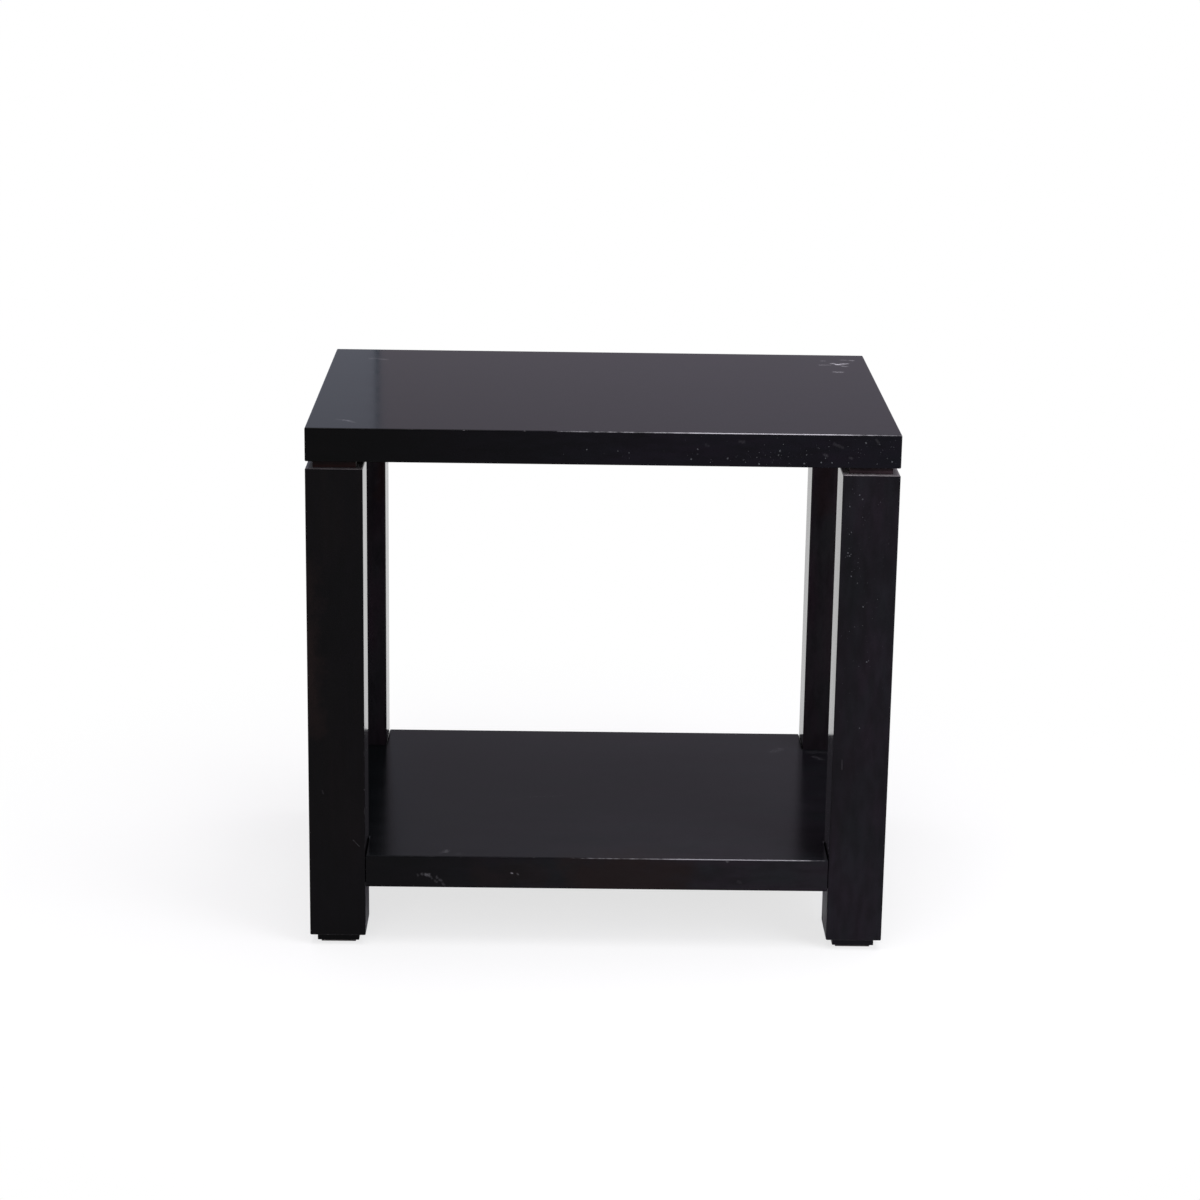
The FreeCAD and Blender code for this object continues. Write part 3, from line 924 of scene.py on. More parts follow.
class EasedSolid:
    """A union of boxes with rounded outer edges, meshed in square cells, with knocked arrises."""

    TURNS = (15.0, 30.0)
    HOLD = 0.0004
    LEAST_CELL = 0.00025
    PLACES = 7
    NEARER = 1e-9
    CHIP_MARKS = (-1.0, -0.5, 0.0, 0.5, 1.0)
    CHIP_SQUEEZE = 0.75
    ON_ARRIS = 0.01
    SHARP = math.radians(55.0)
    QUARTER = ((0, 0), (1, 0), (1, 1), (0, 1))

    def __init__(
        self, boxes: Sequence[Box], arris: float, cell: float, arrises: Sequence[Knocks] = (),
        dice: random.Random | None = None,
    ) -> None:
        """Sets the solid out.

        Args:
            boxes: The boxes it is the union of.
            arris: Radius of its outer edges.
            cell: Largest cell of its mesh.
            arrises: Arrises that have been knocked.
            dice: The seeded source of the knocks.
        """
        self.boxes = boxes
        self.arris = arris
        self.cell = cell
        self.chips = [chip for knocks in arrises for chip in knocks.chips(dice)]

    def _lines(self, axis: Axis) -> np.ndarray:
        """Cell lines along an axis: close at edges and knocks, even between.

        Args:
            axis: The axis.

        Returns:
            The lines' places, in order.
        """
        steps = [0.0, self.arris, self.arris + self.HOLD]
        steps += [self.arris * (1.0 - math.tan(math.radians(turn))) for turn in self.TURNS]
        i = axis.value
        lines = sorted({
            round(edge + way * step, self.PLACES)
            for box in self.boxes
            for step in steps
            for edge, way in ((box.low[i], 1.0), (box.high[i], -1.0))
        })
        chips = [chip for chip in self.chips if chip.along is axis]
        for mark in [c.middle[i] + share * c.reach for c in chips for share in self.CHIP_MARKS]:
            clear = min(abs(mark - x) for x in lines) > self.LEAST_CELL
            if clear and lines[0] < mark < lines[-1]:
                lines.append(mark)
                lines.sort()
        parts = []
        for low, high in zip(lines, lines[1:]):
            count = max(1, math.ceil((high - low) / self.cell))
            parts.append(np.linspace(low, high, count, endpoint=False))
        return np.concatenate([*parts, [lines[-1]]])

    def _filled(self, grids: Sequence[np.ndarray]) -> np.ndarray:
        """The cells that are inside the solid.

        Args:
            grids: Cell lines along each axis.

        Returns:
            A truth value for each cell.
        """
        middles = np.meshgrid(*[(g[1:] + g[:-1]) / 2 for g in grids], indexing="ij")
        full = np.zeros(middles[0].shape, bool)
        for box in self.boxes:
            inside = np.ones(full.shape, bool)
            for m, low, high in zip(middles, box.low, box.high):
                inside &= (m > low) & (m < high)
            full |= inside
        return full

    def _skin(self, grids: Sequence[np.ndarray]) -> tuple[np.ndarray, np.ndarray, np.ndarray]:
        """The outer faces of the cells.

        Args:
            grids: Cell lines along each axis.

        Returns:
            Points, faces as rows of four points, and the axis that each face looks along.
        """
        full = self._filled(grids)
        padded = np.pad(full, 1)
        corners, looks = [], []
        for a in range(3):
            b, c = (a + 1) % 3, (a + 2) % 3
            for side in (1, -1):
                beyond = np.roll(padded, -side, a)[1:-1, 1:-1, 1:-1]
                cells = np.argwhere(full & ~beyond)
                turn = self.QUARTER[::side]
                offsets = np.zeros((4, 3), int)
                offsets[:, a] = (side + 1) // 2
                offsets[:, b] = [t[0] for t in turn]
                offsets[:, c] = [t[1] for t in turn]
                corners.append(cells[:, None, :] + offsets[None])
                looks.append(np.full(len(cells), a))
        corners = np.concatenate(corners)
        sizes = [len(g) for g in grids]
        keys = (corners[..., 0] * sizes[1] + corners[..., 1]) * sizes[2] + corners[..., 2]
        used, faces = np.unique(keys.ravel(), return_inverse=True)
        index = np.unravel_index(used, sizes)
        points = np.stack([g[i] for g, i in zip(grids, index)], axis=1)
        return points, faces.reshape(-1, 4), np.concatenate(looks)

    def _eased(self, points: np.ndarray) -> tuple[np.ndarray, np.ndarray, np.ndarray]:
        """Rounds the outer edges.

        Args:
            points: Points of the square-edged solid.

        Returns:
            The moved points, their outward directions, and how far each is round an arris, 0 to 1.
        """
        best = np.full(len(points), np.inf)
        core = np.zeros_like(points)
        for box in self.boxes:
            near = np.clip(points, np.array(box.low) + self.arris, np.array(box.high) - self.arris)
            apart = np.linalg.norm(points - near, axis=1)
            closer = apart < best - self.NEARER
            best[closer], core[closer] = apart[closer], near[closer]
        out = (points - core) / best[:, None]
        share = np.clip((best / self.arris - 1.0) / (math.sqrt(2.0) - 1.0), 0.0, 1.0)
        return core + out * self.arris, out, share

    def build(self, name: str, materials: Sequence[Material], side_axis: Axis | None = None) -> Piece:
        """Makes the mesh.

        Args:
            name: The piece's name.
            materials: Its finishes, the first for all faces but those that look along side_axis.
            side_axis: Faces that look along this axis take the second finish.

        Returns:
            The piece, linked to the scene.
        """
        points, faces, looks = self._skin([self._lines(axis) for axis in Axis])
        points, out, share = self._eased(points)
        bare = np.zeros(len(points))
        for chip in self.chips:
            apart = points - np.array(chip.middle)
            apart[:, [i for i in range(3) if i != chip.along.value]] /= self.CHIP_SQUEEZE
            deep = np.clip(1.0 - (np.linalg.norm(apart, axis=1) / chip.reach) ** 2, 0.0, 1.0)
            deep *= share > self.ON_ARRIS
            points = points - out * (deep * chip.depth)[:, None]
            bare = np.maximum(bare, deep)
        mesh = bpy.data.meshes.new(name)
        mesh.from_pydata(points.tolist(), [], faces.tolist())
        for key, values in (("arris", share), ("bare", bare)):
            painted = mesh.attributes.new(key, "FLOAT", "POINT")
            painted.data.foreach_set("value", values.astype(np.float32))
        for material in materials:
            mesh.materials.append(material)
        if side_axis is not None:
            mesh.polygons.foreach_set("material_index", (looks == side_axis.value).astype(np.int32))
        mesh.shade_smooth()
        mesh.set_sharp_from_angle(angle=self.SHARP)
        mesh.update()
        return placed(name, mesh)


# Repeats by Geometry Nodes


class Repeater(Bench):
    """A Geometry Nodes tree on a carrier, turned into one plain mesh."""

    def __init__(self, name: str) -> None:
        """Starts an empty tree with its geometry sockets.

        Args:
            name: The tree's name, and the piece's.
        """
        self.name = name
        self.tree = bpy.data.node_groups.new(name, "GeometryNodeTree")
        self.values: dict[str, object] = {}
        for way in ("INPUT", "OUTPUT"):
            self.tree.interface.new_socket("Geometry", in_out=way, socket_type="NodeSocketGeometry")
        self.start = self.node("NodeGroupInput")
        self.stop = self.node("NodeGroupOutput")

    def takes(self, name: str, kind: str, value: object) -> Socket:
        """Adds a named input to the tree.

        Args:
            name: What the input is called.
            kind: Its socket's type.
            value: What the modifier sets it to.

        Returns:
            The socket inside the tree.
        """
        socket = self.tree.interface.new_socket(name, in_out="INPUT", socket_type=kind)
        self.values[socket.identifier] = value
        return self.start.outputs[name]

    def together(self, *values: Value) -> Socket:
        """A vector of up to three values, from X."""
        return self.node("ShaderNodeCombineXYZ", dict(enumerate(values))).outputs[0]

    def carried(self, name: str, kind: str) -> Socket:
        """A named attribute of the carrier."""
        made = self.node("GeometryNodeInputNamedAttribute", {"Name": name}, data_type=kind)
        return made.outputs["Attribute"]

    def facing(self, aim: Socket) -> Socket:
        """A turn that takes Z to an aim."""
        return self.node("FunctionNodeAlignRotationToVector", {"Vector": aim}, axis="Z").outputs["Rotation"]

    def scattered(self, density: Socket, seed: Socket) -> Node:
        """Points scattered on the carrier's faces."""
        inputs = {"Mesh": self.start.outputs["Geometry"], "Density": density, "Seed": seed}
        return self.node("GeometryNodeDistributePointsOnFaces", inputs)

    def copies(self, points: Socket, shape: Socket, **inputs: Socket) -> Socket:
        """A copy of a shape on each point, by its Rotation and Scale inputs."""
        inputs = {"Points": points, "Instance": shape, **inputs}
        return self.node("GeometryNodeInstanceOnPoints", inputs).outputs["Instances"]

    def random(self, low: Value, high: Value, seed: Socket, salt: int) -> Socket:
        """A random number for each copy, the same in each run.

        Args:
            low: The least.
            high: The most.
            seed: The tree's seed.
            salt: A number of its own, so that two draws differ.

        Returns:
            The value socket.
        """
        mixed = self.maths("ADD", seed, float(salt))
        made = self.node("FunctionNodeRandomValue", data_type="FLOAT")
        sockets = {(socket.name, socket.type): socket for socket in made.inputs}
        self.feed(sockets["Min", "VALUE"], low)
        self.feed(sockets["Max", "VALUE"], high)
        self.feed(sockets["Seed", "INT"], mixed)
        return next(socket for socket in made.outputs if socket.type == "VALUE" and socket.enabled)

    def finish(self, copies: Socket, material: Material, carrier: Piece) -> Piece:
        """Makes the copies real and gives them their finish.

        Args:
            copies: The socket that holds the instances.
            material: Their finish.
            carrier: The object that the tree runs on, which is removed.

        Returns:
            One piece of plain mesh, at the origin.
        """
        finish = self.takes("Finish", "NodeSocketMaterial", material)
        real = self.node("GeometryNodeRealizeInstances", {"Geometry": copies}).outputs[0]
        dressed = self.node("GeometryNodeSetMaterial", {"Geometry": real, "Material": finish})
        self.feed(self.stop.inputs[0], dressed.outputs[0])
        modifier = carrier.modifiers.new(self.name, "NODES")
        modifier.node_group = self.tree
        for identifier, value in self.values.items():
            modifier[identifier] = value
        graph = bpy.context.evaluated_depsgraph_get()
        mesh = bpy.data.meshes.new_from_object(carrier.evaluated_get(graph))
        carrier.modifiers.remove(modifier)
        bpy.data.objects.remove(carrier)
        mesh.name = self.name
        return placed(self.name, mesh)


# Sub-assemblies


@dataclass
class TableTop:
    """The slab: a lacquered shell over its frame, ribs and corner blocks."""

    width: float = 0.660
    depth: float = 0.470
    base: float = 0.572
    level: float = 0.610
    arris: float = 0.0015
    cell: float = 0.010
    seed: int = 11
    black: Colour = (0.0004, 0.0004, 0.0005)
    brown: Colour = (0.0026, 0.0017, 0.0019)
    film: Colour = (0.0036, 0.0030, 0.0052)
    gloss: float = 0.055

    # Where the front arris is worn pale and painted with a highlight.
    RUB_AND_HIGHLIGHT = {
        "begins": (-0.08, -0.03), "grows": (0.035, 0.125), "fades": (0.235, 0.31),
        "left": 0.40, "shows": 0.50,
    }
    UPPER_SCUFFS = (
        (287.0, 178.5, 294.0, 172.5, 4.2, 0.30),
        (294.0, 172.5, 303.5, 179.0, 5.0, 0.36),
        (298.5, 163.2, 302.0, 161.2, 3.2, 0.22),
        (271.0, 168.5, 283.0, 169.5, 3.6, 0.11),
        (276.0, 195.0, 277.5, 195.2, 3.4, 0.09),
        (300.5, 203.0, 306.0, 201.8, 3.2, 0.12),
        (311.2, 201.2, 313.8, 200.0, 3.6, 0.20),
        (285.5, 124.6, 293.5, 124.2, 4.2, 0.17),
        (-297.4, -188.1, -288.8, -191.3, 3.0, 0.030),
        (-288.8, -191.3, -283.4, -195.8, 3.4, 0.075),
        (-283.4, -195.8, -277.4, -202.9, 2.8, 0.040),
        (-283.7, 172.4, -276.6, 175.5, 4.0, 0.052),
        (-271.6, 170.6, -264.7, 167.9, 4.0, 0.064),
    )
    FRONT_SCUFFS = (
        (150.5, 601.0, 155.0, 600.2, 2.2, 0.016),
        (113.0, 596.8, 116.0, 595.5, 2.0, 0.009),
        (255.0, 599.2, 264.0, 595.5, 2.2, 0.012),
        (301.0, 604.5, 304.0, 601.0, 2.0, 0.016),
        (244.0, 587.0, 247.5, 585.8, 2.0, 0.020),
        (272.5, 584.2, 275.0, 583.2, 1.6, 0.020),
    )

    def build(self) -> None:
        """Makes the slab."""
        w, d = self.width / 2, self.depth / 2
        box = Box((-w, -d, self.base), (w, d, self.level))
        scuffs = rubs_on_level(self.level, self.UPPER_SCUFFS) + rubs_on_front(FRONT, self.FRONT_SCUFFS)
        rub_and_highlight = RubAndHighlight(self.level, **self.RUB_AND_HIGHLIGHT)
        coat = {"black": self.black, "brown": self.brown, "film": self.film, "gloss": self.gloss}
        along = LacquerFinish("lacquer_top", Grain.ALONG_X, scuffs, rub_and_highlight=rub_and_highlight, **coat)
        across = LacquerFinish("lacquer_top_ends", Grain.ALONG_Y, **coat)
        solid = EasedSolid([box], self.arris, self.cell, self._knocks(w, d), random.Random(self.seed))
        slab = solid.build("top_slab", (along.make(), across.make()), Axis.X)
        rails = [f"top_{side}_rail" for side in SIDES]
        keep(slab, ["top_upper_skin", "top_lower_skin", *rails])

    def _knocks(self, w: float, d: float) -> list[Knocks]:
        """The arrises that have been knocked, most of all the front one's right half.

        Args:
            w: Half the width.
            d: Half the depth.

        Returns:
            The arrises, in the order that their knocks are drawn.
        """
        z, low = self.level, self.base
        return [
            Knocks((-w, -d, z), (w, -d, z), count=14, bias=2.4),
            Knocks((-w, d, z), (w, d, z), count=6),
            Knocks((-w, -d, z), (-w, d, z), count=5),
            Knocks((w, -d, z), (w, d, z), count=6),
            Knocks((-w, -d, low), (w, -d, low), count=4, bias=1.6),
            Knocks((-w, -d, low), (-w, -d, z), count=1),
            Knocks((w, -d, low), (w, -d, z), count=2),
            Knocks((w, d, low), (w, d, z), count=1),
        ]


@dataclass
class Legs:
    """Four square legs with eased arrises."""

    size: float = 0.064
    reach_x: float = 0.330
    reach_y: float = 0.235
    foot: float = 0.012
    head: float = 0.564
    arris: float = 0.0015
    cell: float = 0.009
    seed: int = 23
    clear_ends: float = 0.01
    splashed: float = 0.26
    black: Colour = (0.0009, 0.0007, 0.0009)
    film: Colour = (0.0078, 0.0067, 0.0093)
    # The front legs' film grows towards the right, partly as painted light.
    film_and_light_share: Span = (0.09, 0.76)
    # The back legs' brighter, even film is dust and painted light, lifting them as if lit.
    back_film_and_light: Colour = (0.0100, 0.0080, 0.0098)
    back_film_and_light_share: Span = (0.9, 0.9)

    SCUFFS = (
        (-279.7, 128.9, -272.5, 121.1, 0.6, 0.030),
        (-266.0, 134.0, -266.0, 115.0, 0.7, 0.030),
        (-314.2, 188.0, -313.2, 184.8, 1.0, 0.014),
        (276.8, 232.0, 277.1, 220.5, 0.6, 0.028),
    )
    THIN = (
        (-338.0, 440.0, -336.0, 270.0, 30.0, 0.50),
        (-334.0, 380.0, -332.0, 300.0, 19.0, 0.25),
    )
    WIPED = ((269.0, 470.0, 272.0, 150.0, 42.0, 0.24),)
    UPRIGHT = (3, 1.4)
    AT_FOOT = 2
    BACK_THIN = (
        (-268.0, 560.0, -268.0, 440.0, 15.0, 0.70),
        (290.0, 520.0, 280.0, 430.0, 15.0, 0.40),
    )

    def build(self) -> None:
        """Makes the legs."""
        front, back = self._finishes()
        dice = random.Random(self.seed)
        for corner, sx, sy in CORNERS:
            xs = sorted((sx * self.reach_x, sx * (self.reach_x - self.size)))
            ys = sorted((sy * self.reach_y, sy * (self.reach_y - self.size)))
            box = Box((xs[0], ys[0], self.foot), (xs[1], ys[1], self.head))
            solid = EasedSolid([box], self.arris, self.cell, self._knocks(xs, ys), dice)
            leg = solid.build(f"lacquered_leg_{corner}", (front if sy < 0 else back,))
            keep(leg, [f"leg_{corner}"])

    def _finishes(self) -> tuple[Material, Material]:
        """Mixes the legs' two finishes.

        Returns:
            The front legs' finish and the back legs'.
        """
        marks = (self.SCUFFS, self.THIN, self.WIPED)
        scuffs, thin, wiped = (rubs_on_front(FRONT, rows) for rows in marks)
        front = LacquerFinish(
            "lacquer_legs", Grain.ALONG_Z, scuffs, thin, wiped=wiped, splashed=self.splashed,
            ledge=self.head, black=self.black, film=self.film, film_and_light_share=self.film_and_light_share,
        )
        # Painted light: the back legs take a brighter, even film than the front ones.
        back = LacquerFinish(
            "lacquer_back_legs", Grain.ALONG_Z, thin=rubs_on_front(BACK_LEGS, self.BACK_THIN),
            ledge=self.head, film=self.back_film_and_light, film_and_light_share=self.back_film_and_light_share,
        )
        return front.make(), back.make()

    def _knocks(self, xs: Sequence[float], ys: Sequence[float]) -> list[Knocks]:
        """The arrises of one leg: the upright ones, then the front and back ones at its foot.

        Args:
            xs: The leg's sides along X.
            ys: Its sides along Y.

        Returns:
            The arrises, in the order that their knocks are drawn.
        """
        high, low = self.head - self.clear_ends, self.foot + self.clear_ends
        upright = [Knocks((x, y, high), (x, y, low), *self.UPRIGHT) for x in xs for y in ys]
        foot = [Knocks((xs[0], y, self.foot), (xs[1], y, self.foot), self.AT_FOOT) for y in ys]
        return upright + foot


@dataclass
class LowerShelf:
    """The shelf: a lacquered shell notched round the legs."""

    width: float = 0.660
    depth: float = 0.470
    notch: float = 0.0644
    base: float = 0.072
    level: float = 0.110
    arris: float = 0.0015
    cell: float = 0.010
    seed: int = 37
    black: Colour = (0.0009, 0.0009, 0.0012)
    film: Colour = (0.0082, 0.0072, 0.0094)
    dust: Colour = (0.27, 0.35, 0.37)
    gloss: float = 0.15

    # Where the front arris is worn pale and painted with a highlight.
    RUB_AND_HIGHLIGHT = {
        "begins": (-0.045, -0.005), "grows": (0.05, 0.115), "fades": (0.215, 0.272),
        "left": 0.2, "shows": 0.34, "faint": 0.47,
    }
    FRONT_SCUFFS = (
        (-196.5, 87.8, -192.0, 87.0, 2.4, 0.060),
        (-201.6, 88.8, -200.3, 88.0, 1.9, 0.030),
        (-206.0, 87.8, -205.5, 86.5, 1.5, 0.016),
        (-190.3, 84.5, -189.5, 83.2, 1.6, 0.022),
        (-184.2, 84.8, -183.2, 84.2, 2.0, 0.026),
        (-180.5, 81.8, -179.2, 80.2, 2.1, 0.026),
        (-185.5, 80.2, -184.5, 79.0, 2.2, 0.018),
        (-177.0, 77.0, -175.8, 75.7, 2.0, 0.018),
        (-98.5, 90.8, -97.0, 90.1, 1.2, 0.160),
        (-91.5, 90.0, -90.6, 88.8, 1.4, 0.042),
        (148.8, 107.6, 150.0, 107.0, 1.5, 0.050),
        (162.5, 83.5, 165.0, 81.8, 2.4, 0.009),
    )
    UPPER_SCUFFS = (
        (-173.7, -214.0, -174.3, -220.0, 3.8, 0.050),
        (-180.0, -222.5, -177.5, -221.0, 4.0, 0.018),
        (-160.0, -226.0, -158.0, -225.5, 3.6, 0.014),
        (272.0, 160.0, 294.0, 160.0, 8.0, 0.016),
        (278.0, 141.0, 287.0, 131.0, 5.0, 0.026),
        (226.0, 159.0, 238.0, 170.0, 7.0, 0.026),
        (-112.0, -39.5, -80.0, -25.0, 1.6, 0.016),
        (-80.0, -25.0, -40.0, -19.0, 1.8, 0.022),
    )
    THIN = (
        (-130.0, 86.0, -70.0, 88.0, 24.0, 0.30),
        (-10.0, 90.0, 75.0, 90.0, 48.0, 0.74),
    )

    def build(self) -> None:
        """Makes the shelf."""
        w, d, n = self.width / 2, self.depth / 2, self.notch
        boxes = [
            Box((-w, -d + n, self.base), (w, d - n, self.level)),
            Box((-w + n, -d, self.base), (w - n, d, self.level)),
        ]
        scuffs = rubs_on_front(FRONT, self.FRONT_SCUFFS) + rubs_on_level(self.level, self.UPPER_SCUFFS)
        thin = rubs_on_front(FRONT, self.THIN)
        rub_and_highlight = RubAndHighlight(self.level, **self.RUB_AND_HIGHLIGHT)
        coat = {"black": self.black, "film": self.film, "gloss": self.gloss}
        along = LacquerFinish(
            "lacquer_shelf", Grain.ALONG_X, scuffs, thin, rub_and_highlight, veiled=self.level, dust=self.dust, **coat
        )
        across = LacquerFinish("lacquer_shelf_ends", Grain.ALONG_Y, **coat)
        solid = EasedSolid(boxes, self.arris, self.cell, self._knocks(w, d, n), random.Random(self.seed))
        shelf = solid.build("shelf_slab", (along.make(), across.make()), Axis.X)
        rails = [f"shelf_{side}_rail" for side in SIDES]
        keep(shelf, ["shelf_upper_skin", "shelf_lower_skin", *rails])

    def _knocks(self, w: float, d: float, n: float) -> list[Knocks]:
        """The knocked arrises, most of all the front one's right half.

        Args:
            w: Half the width.
            d: Half the depth.
            n: The notch.

        Returns:
            The arrises, in the order that their knocks are drawn.
        """
        z = self.level
        return [
            Knocks((-w + n, -d, z), (w - n, -d, z), count=9, bias=2.2),
            Knocks((-w + n, d, z), (w - n, d, z), count=5),
            Knocks((-w, -d + n, z), (-w, d - n, z), count=4),
            Knocks((w, -d + n, z), (w, d - n, z), count=5),
        ]


@dataclass
class ShelfFixings:
    """Angle brackets under the shelf and their cross-recess screws."""

    bracket_x: float = 0.298
    hole_apart: float = 0.020
    shelf_screw_y: float = 0.154
    shelf_screw_z: float = 0.070
    leg_screw_y: float = 0.169
    leg_screw_z: float = 0.055
    head_radius: float = 0.004
    head_height: float = 0.0024
    shank_radius: float = 0.002
    length: float = 0.018
    point: float = 0.004
    segments: int = 24

    TIP = 0.15
    HEAD_PROFILE = ((1.0, 0.0), (1.0, 0.36), (0.93, 0.62), (0.74, 0.90))
    RECESS = ((0.50, 0.125, 1.0), (0.34, 0.085, 0.40))
    SHARP = math.radians(40.0)

    def build(self, coat: Material) -> None:
        """Makes the screws and dresses the brackets.

        Args:
            coat: The brackets' finish.
        """
        dress([f"shelf_bracket_{corner}" for corner, _, _ in CORNERS], coat)
        up, sideways = [], []
        for _, sx, sy in CORNERS:
            for side in (-0.5, 0.5):
                x = sx * self.bracket_x + side * self.hole_apart
                up.append(((x, sy * self.shelf_screw_y, self.shelf_screw_z), (0.0, 0.0, -1.0)))
                sideways.append(((x, sy * self.leg_screw_y, self.leg_screw_z), (0.0, -sy, 0.0)))
        self._screws("cross_screws_in_shelf", up, coat, "bracket_shelf_screws")
        self._screws("cross_screws_in_legs", sideways, coat, "bracket_leg_screws")

    def _screws(self, name: str, places: Sequence[tuple[Point, Point]], coat: Material, node: str) -> None:
        """Sets a screw at each place.

        Args:
            name: The piece's name.
            places: Where each head bears, and the way it looks.
            coat: The finish.
            node: The CAD node that the screws stand for.
        """
        carrier = carrier_of(name + "_places", [place for place, _ in places])
        aims = carrier.data.attributes.new("aim", "FLOAT_VECTOR", "POINT")
        aims.data.foreach_set("vector", [x for _, aim in places for x in aim])
        pattern = self._screw()
        tree = Repeater(name)
        screw = tree.takes("Screw", "NodeSocketObject", pattern)
        shape = tree.node("GeometryNodeObjectInfo", {"Object": screw}).outputs["Geometry"]
        turn = tree.facing(tree.carried("aim", "FLOAT_VECTOR"))
        copies = tree.copies(tree.start.outputs["Geometry"], shape, Rotation=turn)
        piece = tree.finish(copies, coat, carrier)
        bpy.data.objects.remove(pattern)
        keep(piece, [node])

    def _screw(self) -> Piece:
        """Makes one pan-head screw with a cross recess.

        Returns:
            The screw, its head looking up from the origin.
        """
        mesh = bmesh.new()
        shank, head, height = self.shank_radius, self.head_radius, self.head_height
        profile = [(shank * self.TIP, -self.length), (shank, -self.length + self.point), (shank, 0.0)]
        profile += [(head * out, height * up) for out, up in self.HEAD_PROFILE]
        rings = [self._ring(mesh, *row) for row in profile]
        rings += [self._cross(mesh, head * arm, head * half, height * up) for arm, half, up in self.RECESS]
        for low, high in zip(rings, rings[1:]):
            bmesh.ops.bridge_loops(mesh, edges=self._loop(mesh, low) + self._loop(mesh, high))
        for ring in (rings[0], rings[-1]):
            bmesh.ops.contextual_create(mesh, geom=self._loop(mesh, ring))
        bmesh.ops.recalc_face_normals(mesh, faces=mesh.faces)
        made = bpy.data.meshes.new("screw_pattern")
        mesh.to_mesh(made)
        mesh.free()
        made.shade_smooth()
        made.set_sharp_from_angle(angle=self.SHARP)
        return placed("screw_pattern", made)

    def _ring(self, mesh: bmesh.types.BMesh, radius: float, height: float) -> list[bmesh.types.BMVert]:
        """A ring of points round the screw."""
        turns = [2.0 * math.pi * i / self.segments for i in range(self.segments)]
        return [mesh.verts.new((radius * math.cos(t), radius * math.sin(t), height)) for t in turns]

    @staticmethod
    def _cross(mesh: bmesh.types.BMesh, arm: float, half: float, height: float) -> list[bmesh.types.BMVert]:
        """The outline of a cross recess.

        Args:
            mesh: The screw's mesh.
            arm: How far each arm reaches.
            half: Half an arm's width.
            height: The outline's height.

        Returns:
            Its points, in order.
        """
        quarter = [(arm, -half), (arm, half), (half, half)]
        turns = [Matrix.Rotation(i * math.pi / 2, 2) for i in range(4)]
        points = [turn @ Vector(p) for turn in turns for p in quarter]
        return [mesh.verts.new((p.x, p.y, height)) for p in points]

    @staticmethod
    def _loop(mesh: bmesh.types.BMesh, ring: Sequence[bmesh.types.BMVert]) -> list[bmesh.types.BMEdge]:
        """The closed loop of edges through a ring, made where it is missing."""
        pairs = zip(ring, [*ring[1:], ring[0]])
        return [mesh.edges.get(pair) or mesh.edges.new(pair) for pair in pairs]


@dataclass
class GlidePads:
    """Felt pads under the feet, with loose fibres at their edges."""

    middle_x: float = 0.298
    middle_y: float = 0.203
    half: float = 0.020
    thickness: float = 0.003
    arris: float = 0.0006
    cell: float = 0.0012
    seed: int = 53
    ragged: float = 0.00035
    ragged_from: float = 0.0003
    fibres: float = 700000.0
    fibre_radius: float = 0.00004
    fibre_length: Span = (0.0005, 0.0013)
    fibre_inset: float = 0.0004

    FRINGE = (0.28, 0.85)
    STRAY = (0.8, 0.8, 0.3)
    HAIR = {"Vertices": 3, "Radius Top": 0.3, "Radius Bottom": 1.0, "Depth": 1.0}

    def build(self, felt: Material) -> None:
        """Makes the pads and their fibres.

        Args:
            felt: Their finish.
        """
        for corner, sx, sy in CORNERS:
            x, y = sx * self.middle_x, sy * self.middle_y
            low = (x - self.half, y - self.half, 0.0)
            box = Box(low, (x + self.half, y + self.half, self.thickness))
            pad = EasedSolid([box], self.arris, self.cell).build(f"felt_pad_{corner}", (felt,))
            self._roughen(pad)
            keep(pad, [f"glide_pad_{corner}"])
        keep(self._fringe(felt))

    def _sides(self) -> Piece:
        """Sets out the pads' upright sides.

        Returns:
            A carrier for the fibres.
        """
        low, high = (self.thickness * share for share in self.FRINGE)
        out = self.half - self.fibre_inset
        ring = ((-out, -out), (out, -out), (out, out), (-out, out))
        panels = []
        for _, sx, sy in CORNERS:
            x, y = sx * self.middle_x, sy * self.middle_y
            for (x0, y0), (x1, y1) in zip(ring, [*ring[1:], ring[0]]):
                first, last = (x + x0, y + y0), (x + x1, y + y1)
                panels.append([(*first, low), (*last, low), (*last, high), (*first, high)])
        return panels_of("felt_sides", panels)

    def _fringe(self, felt: Material) -> Piece:
        """Loose fibres round the sides of every pad.

        Args:
            felt: Their finish.

        Returns:
            The fibres as one piece.
        """
        carrier = self._sides()
        tree = Repeater("felt_fibres")
        density = tree.takes("Density", "NodeSocketFloat", self.fibres)
        seed = tree.takes("Seed", "NodeSocketInt", self.seed)
        radius = tree.takes("Radius", "NodeSocketFloat", self.fibre_radius)
        shortest = tree.takes("Shortest", "NodeSocketFloat", self.fibre_length[0])
        longest = tree.takes("Longest", "NodeSocketFloat", self.fibre_length[1])
        spots = tree.scattered(density, seed)
        hair = tree.node("GeometryNodeMeshCone", self.HAIR).outputs["Mesh"]
        stray = [tree.random(-most, most, seed, salt) for salt, most in enumerate(self.STRAY, 1)]
        lean = tree.vector("ADD", "Vector", spots.outputs["Normal"], tree.together(*stray))
        turn = tree.facing(lean)
        scale = tree.together(radius, radius, tree.random(shortest, longest, seed, 4))
        copies = tree.copies(spots.outputs["Points"], hair, Rotation=turn, Scale=scale)
        return tree.finish(copies, felt, carrier)

    def _roughen(self, pad: Piece) -> None:
        """Pulls the sides in and out a little, as cut felt is.

        Args:
            pad: The pad.
        """
        dice = random.Random(self.seed)
        for point in pad.data.vertices:
            if self.ragged_from < point.co.z < self.thickness - self.ragged_from:
                inward = dice.uniform(0.0, self.ragged)
                for i, middle in enumerate((self.middle_x, self.middle_y)):
                    place = point.co[i]
                    point.co[i] -= math.copysign(inward, place - math.copysign(middle, place))
        pad.data.update()


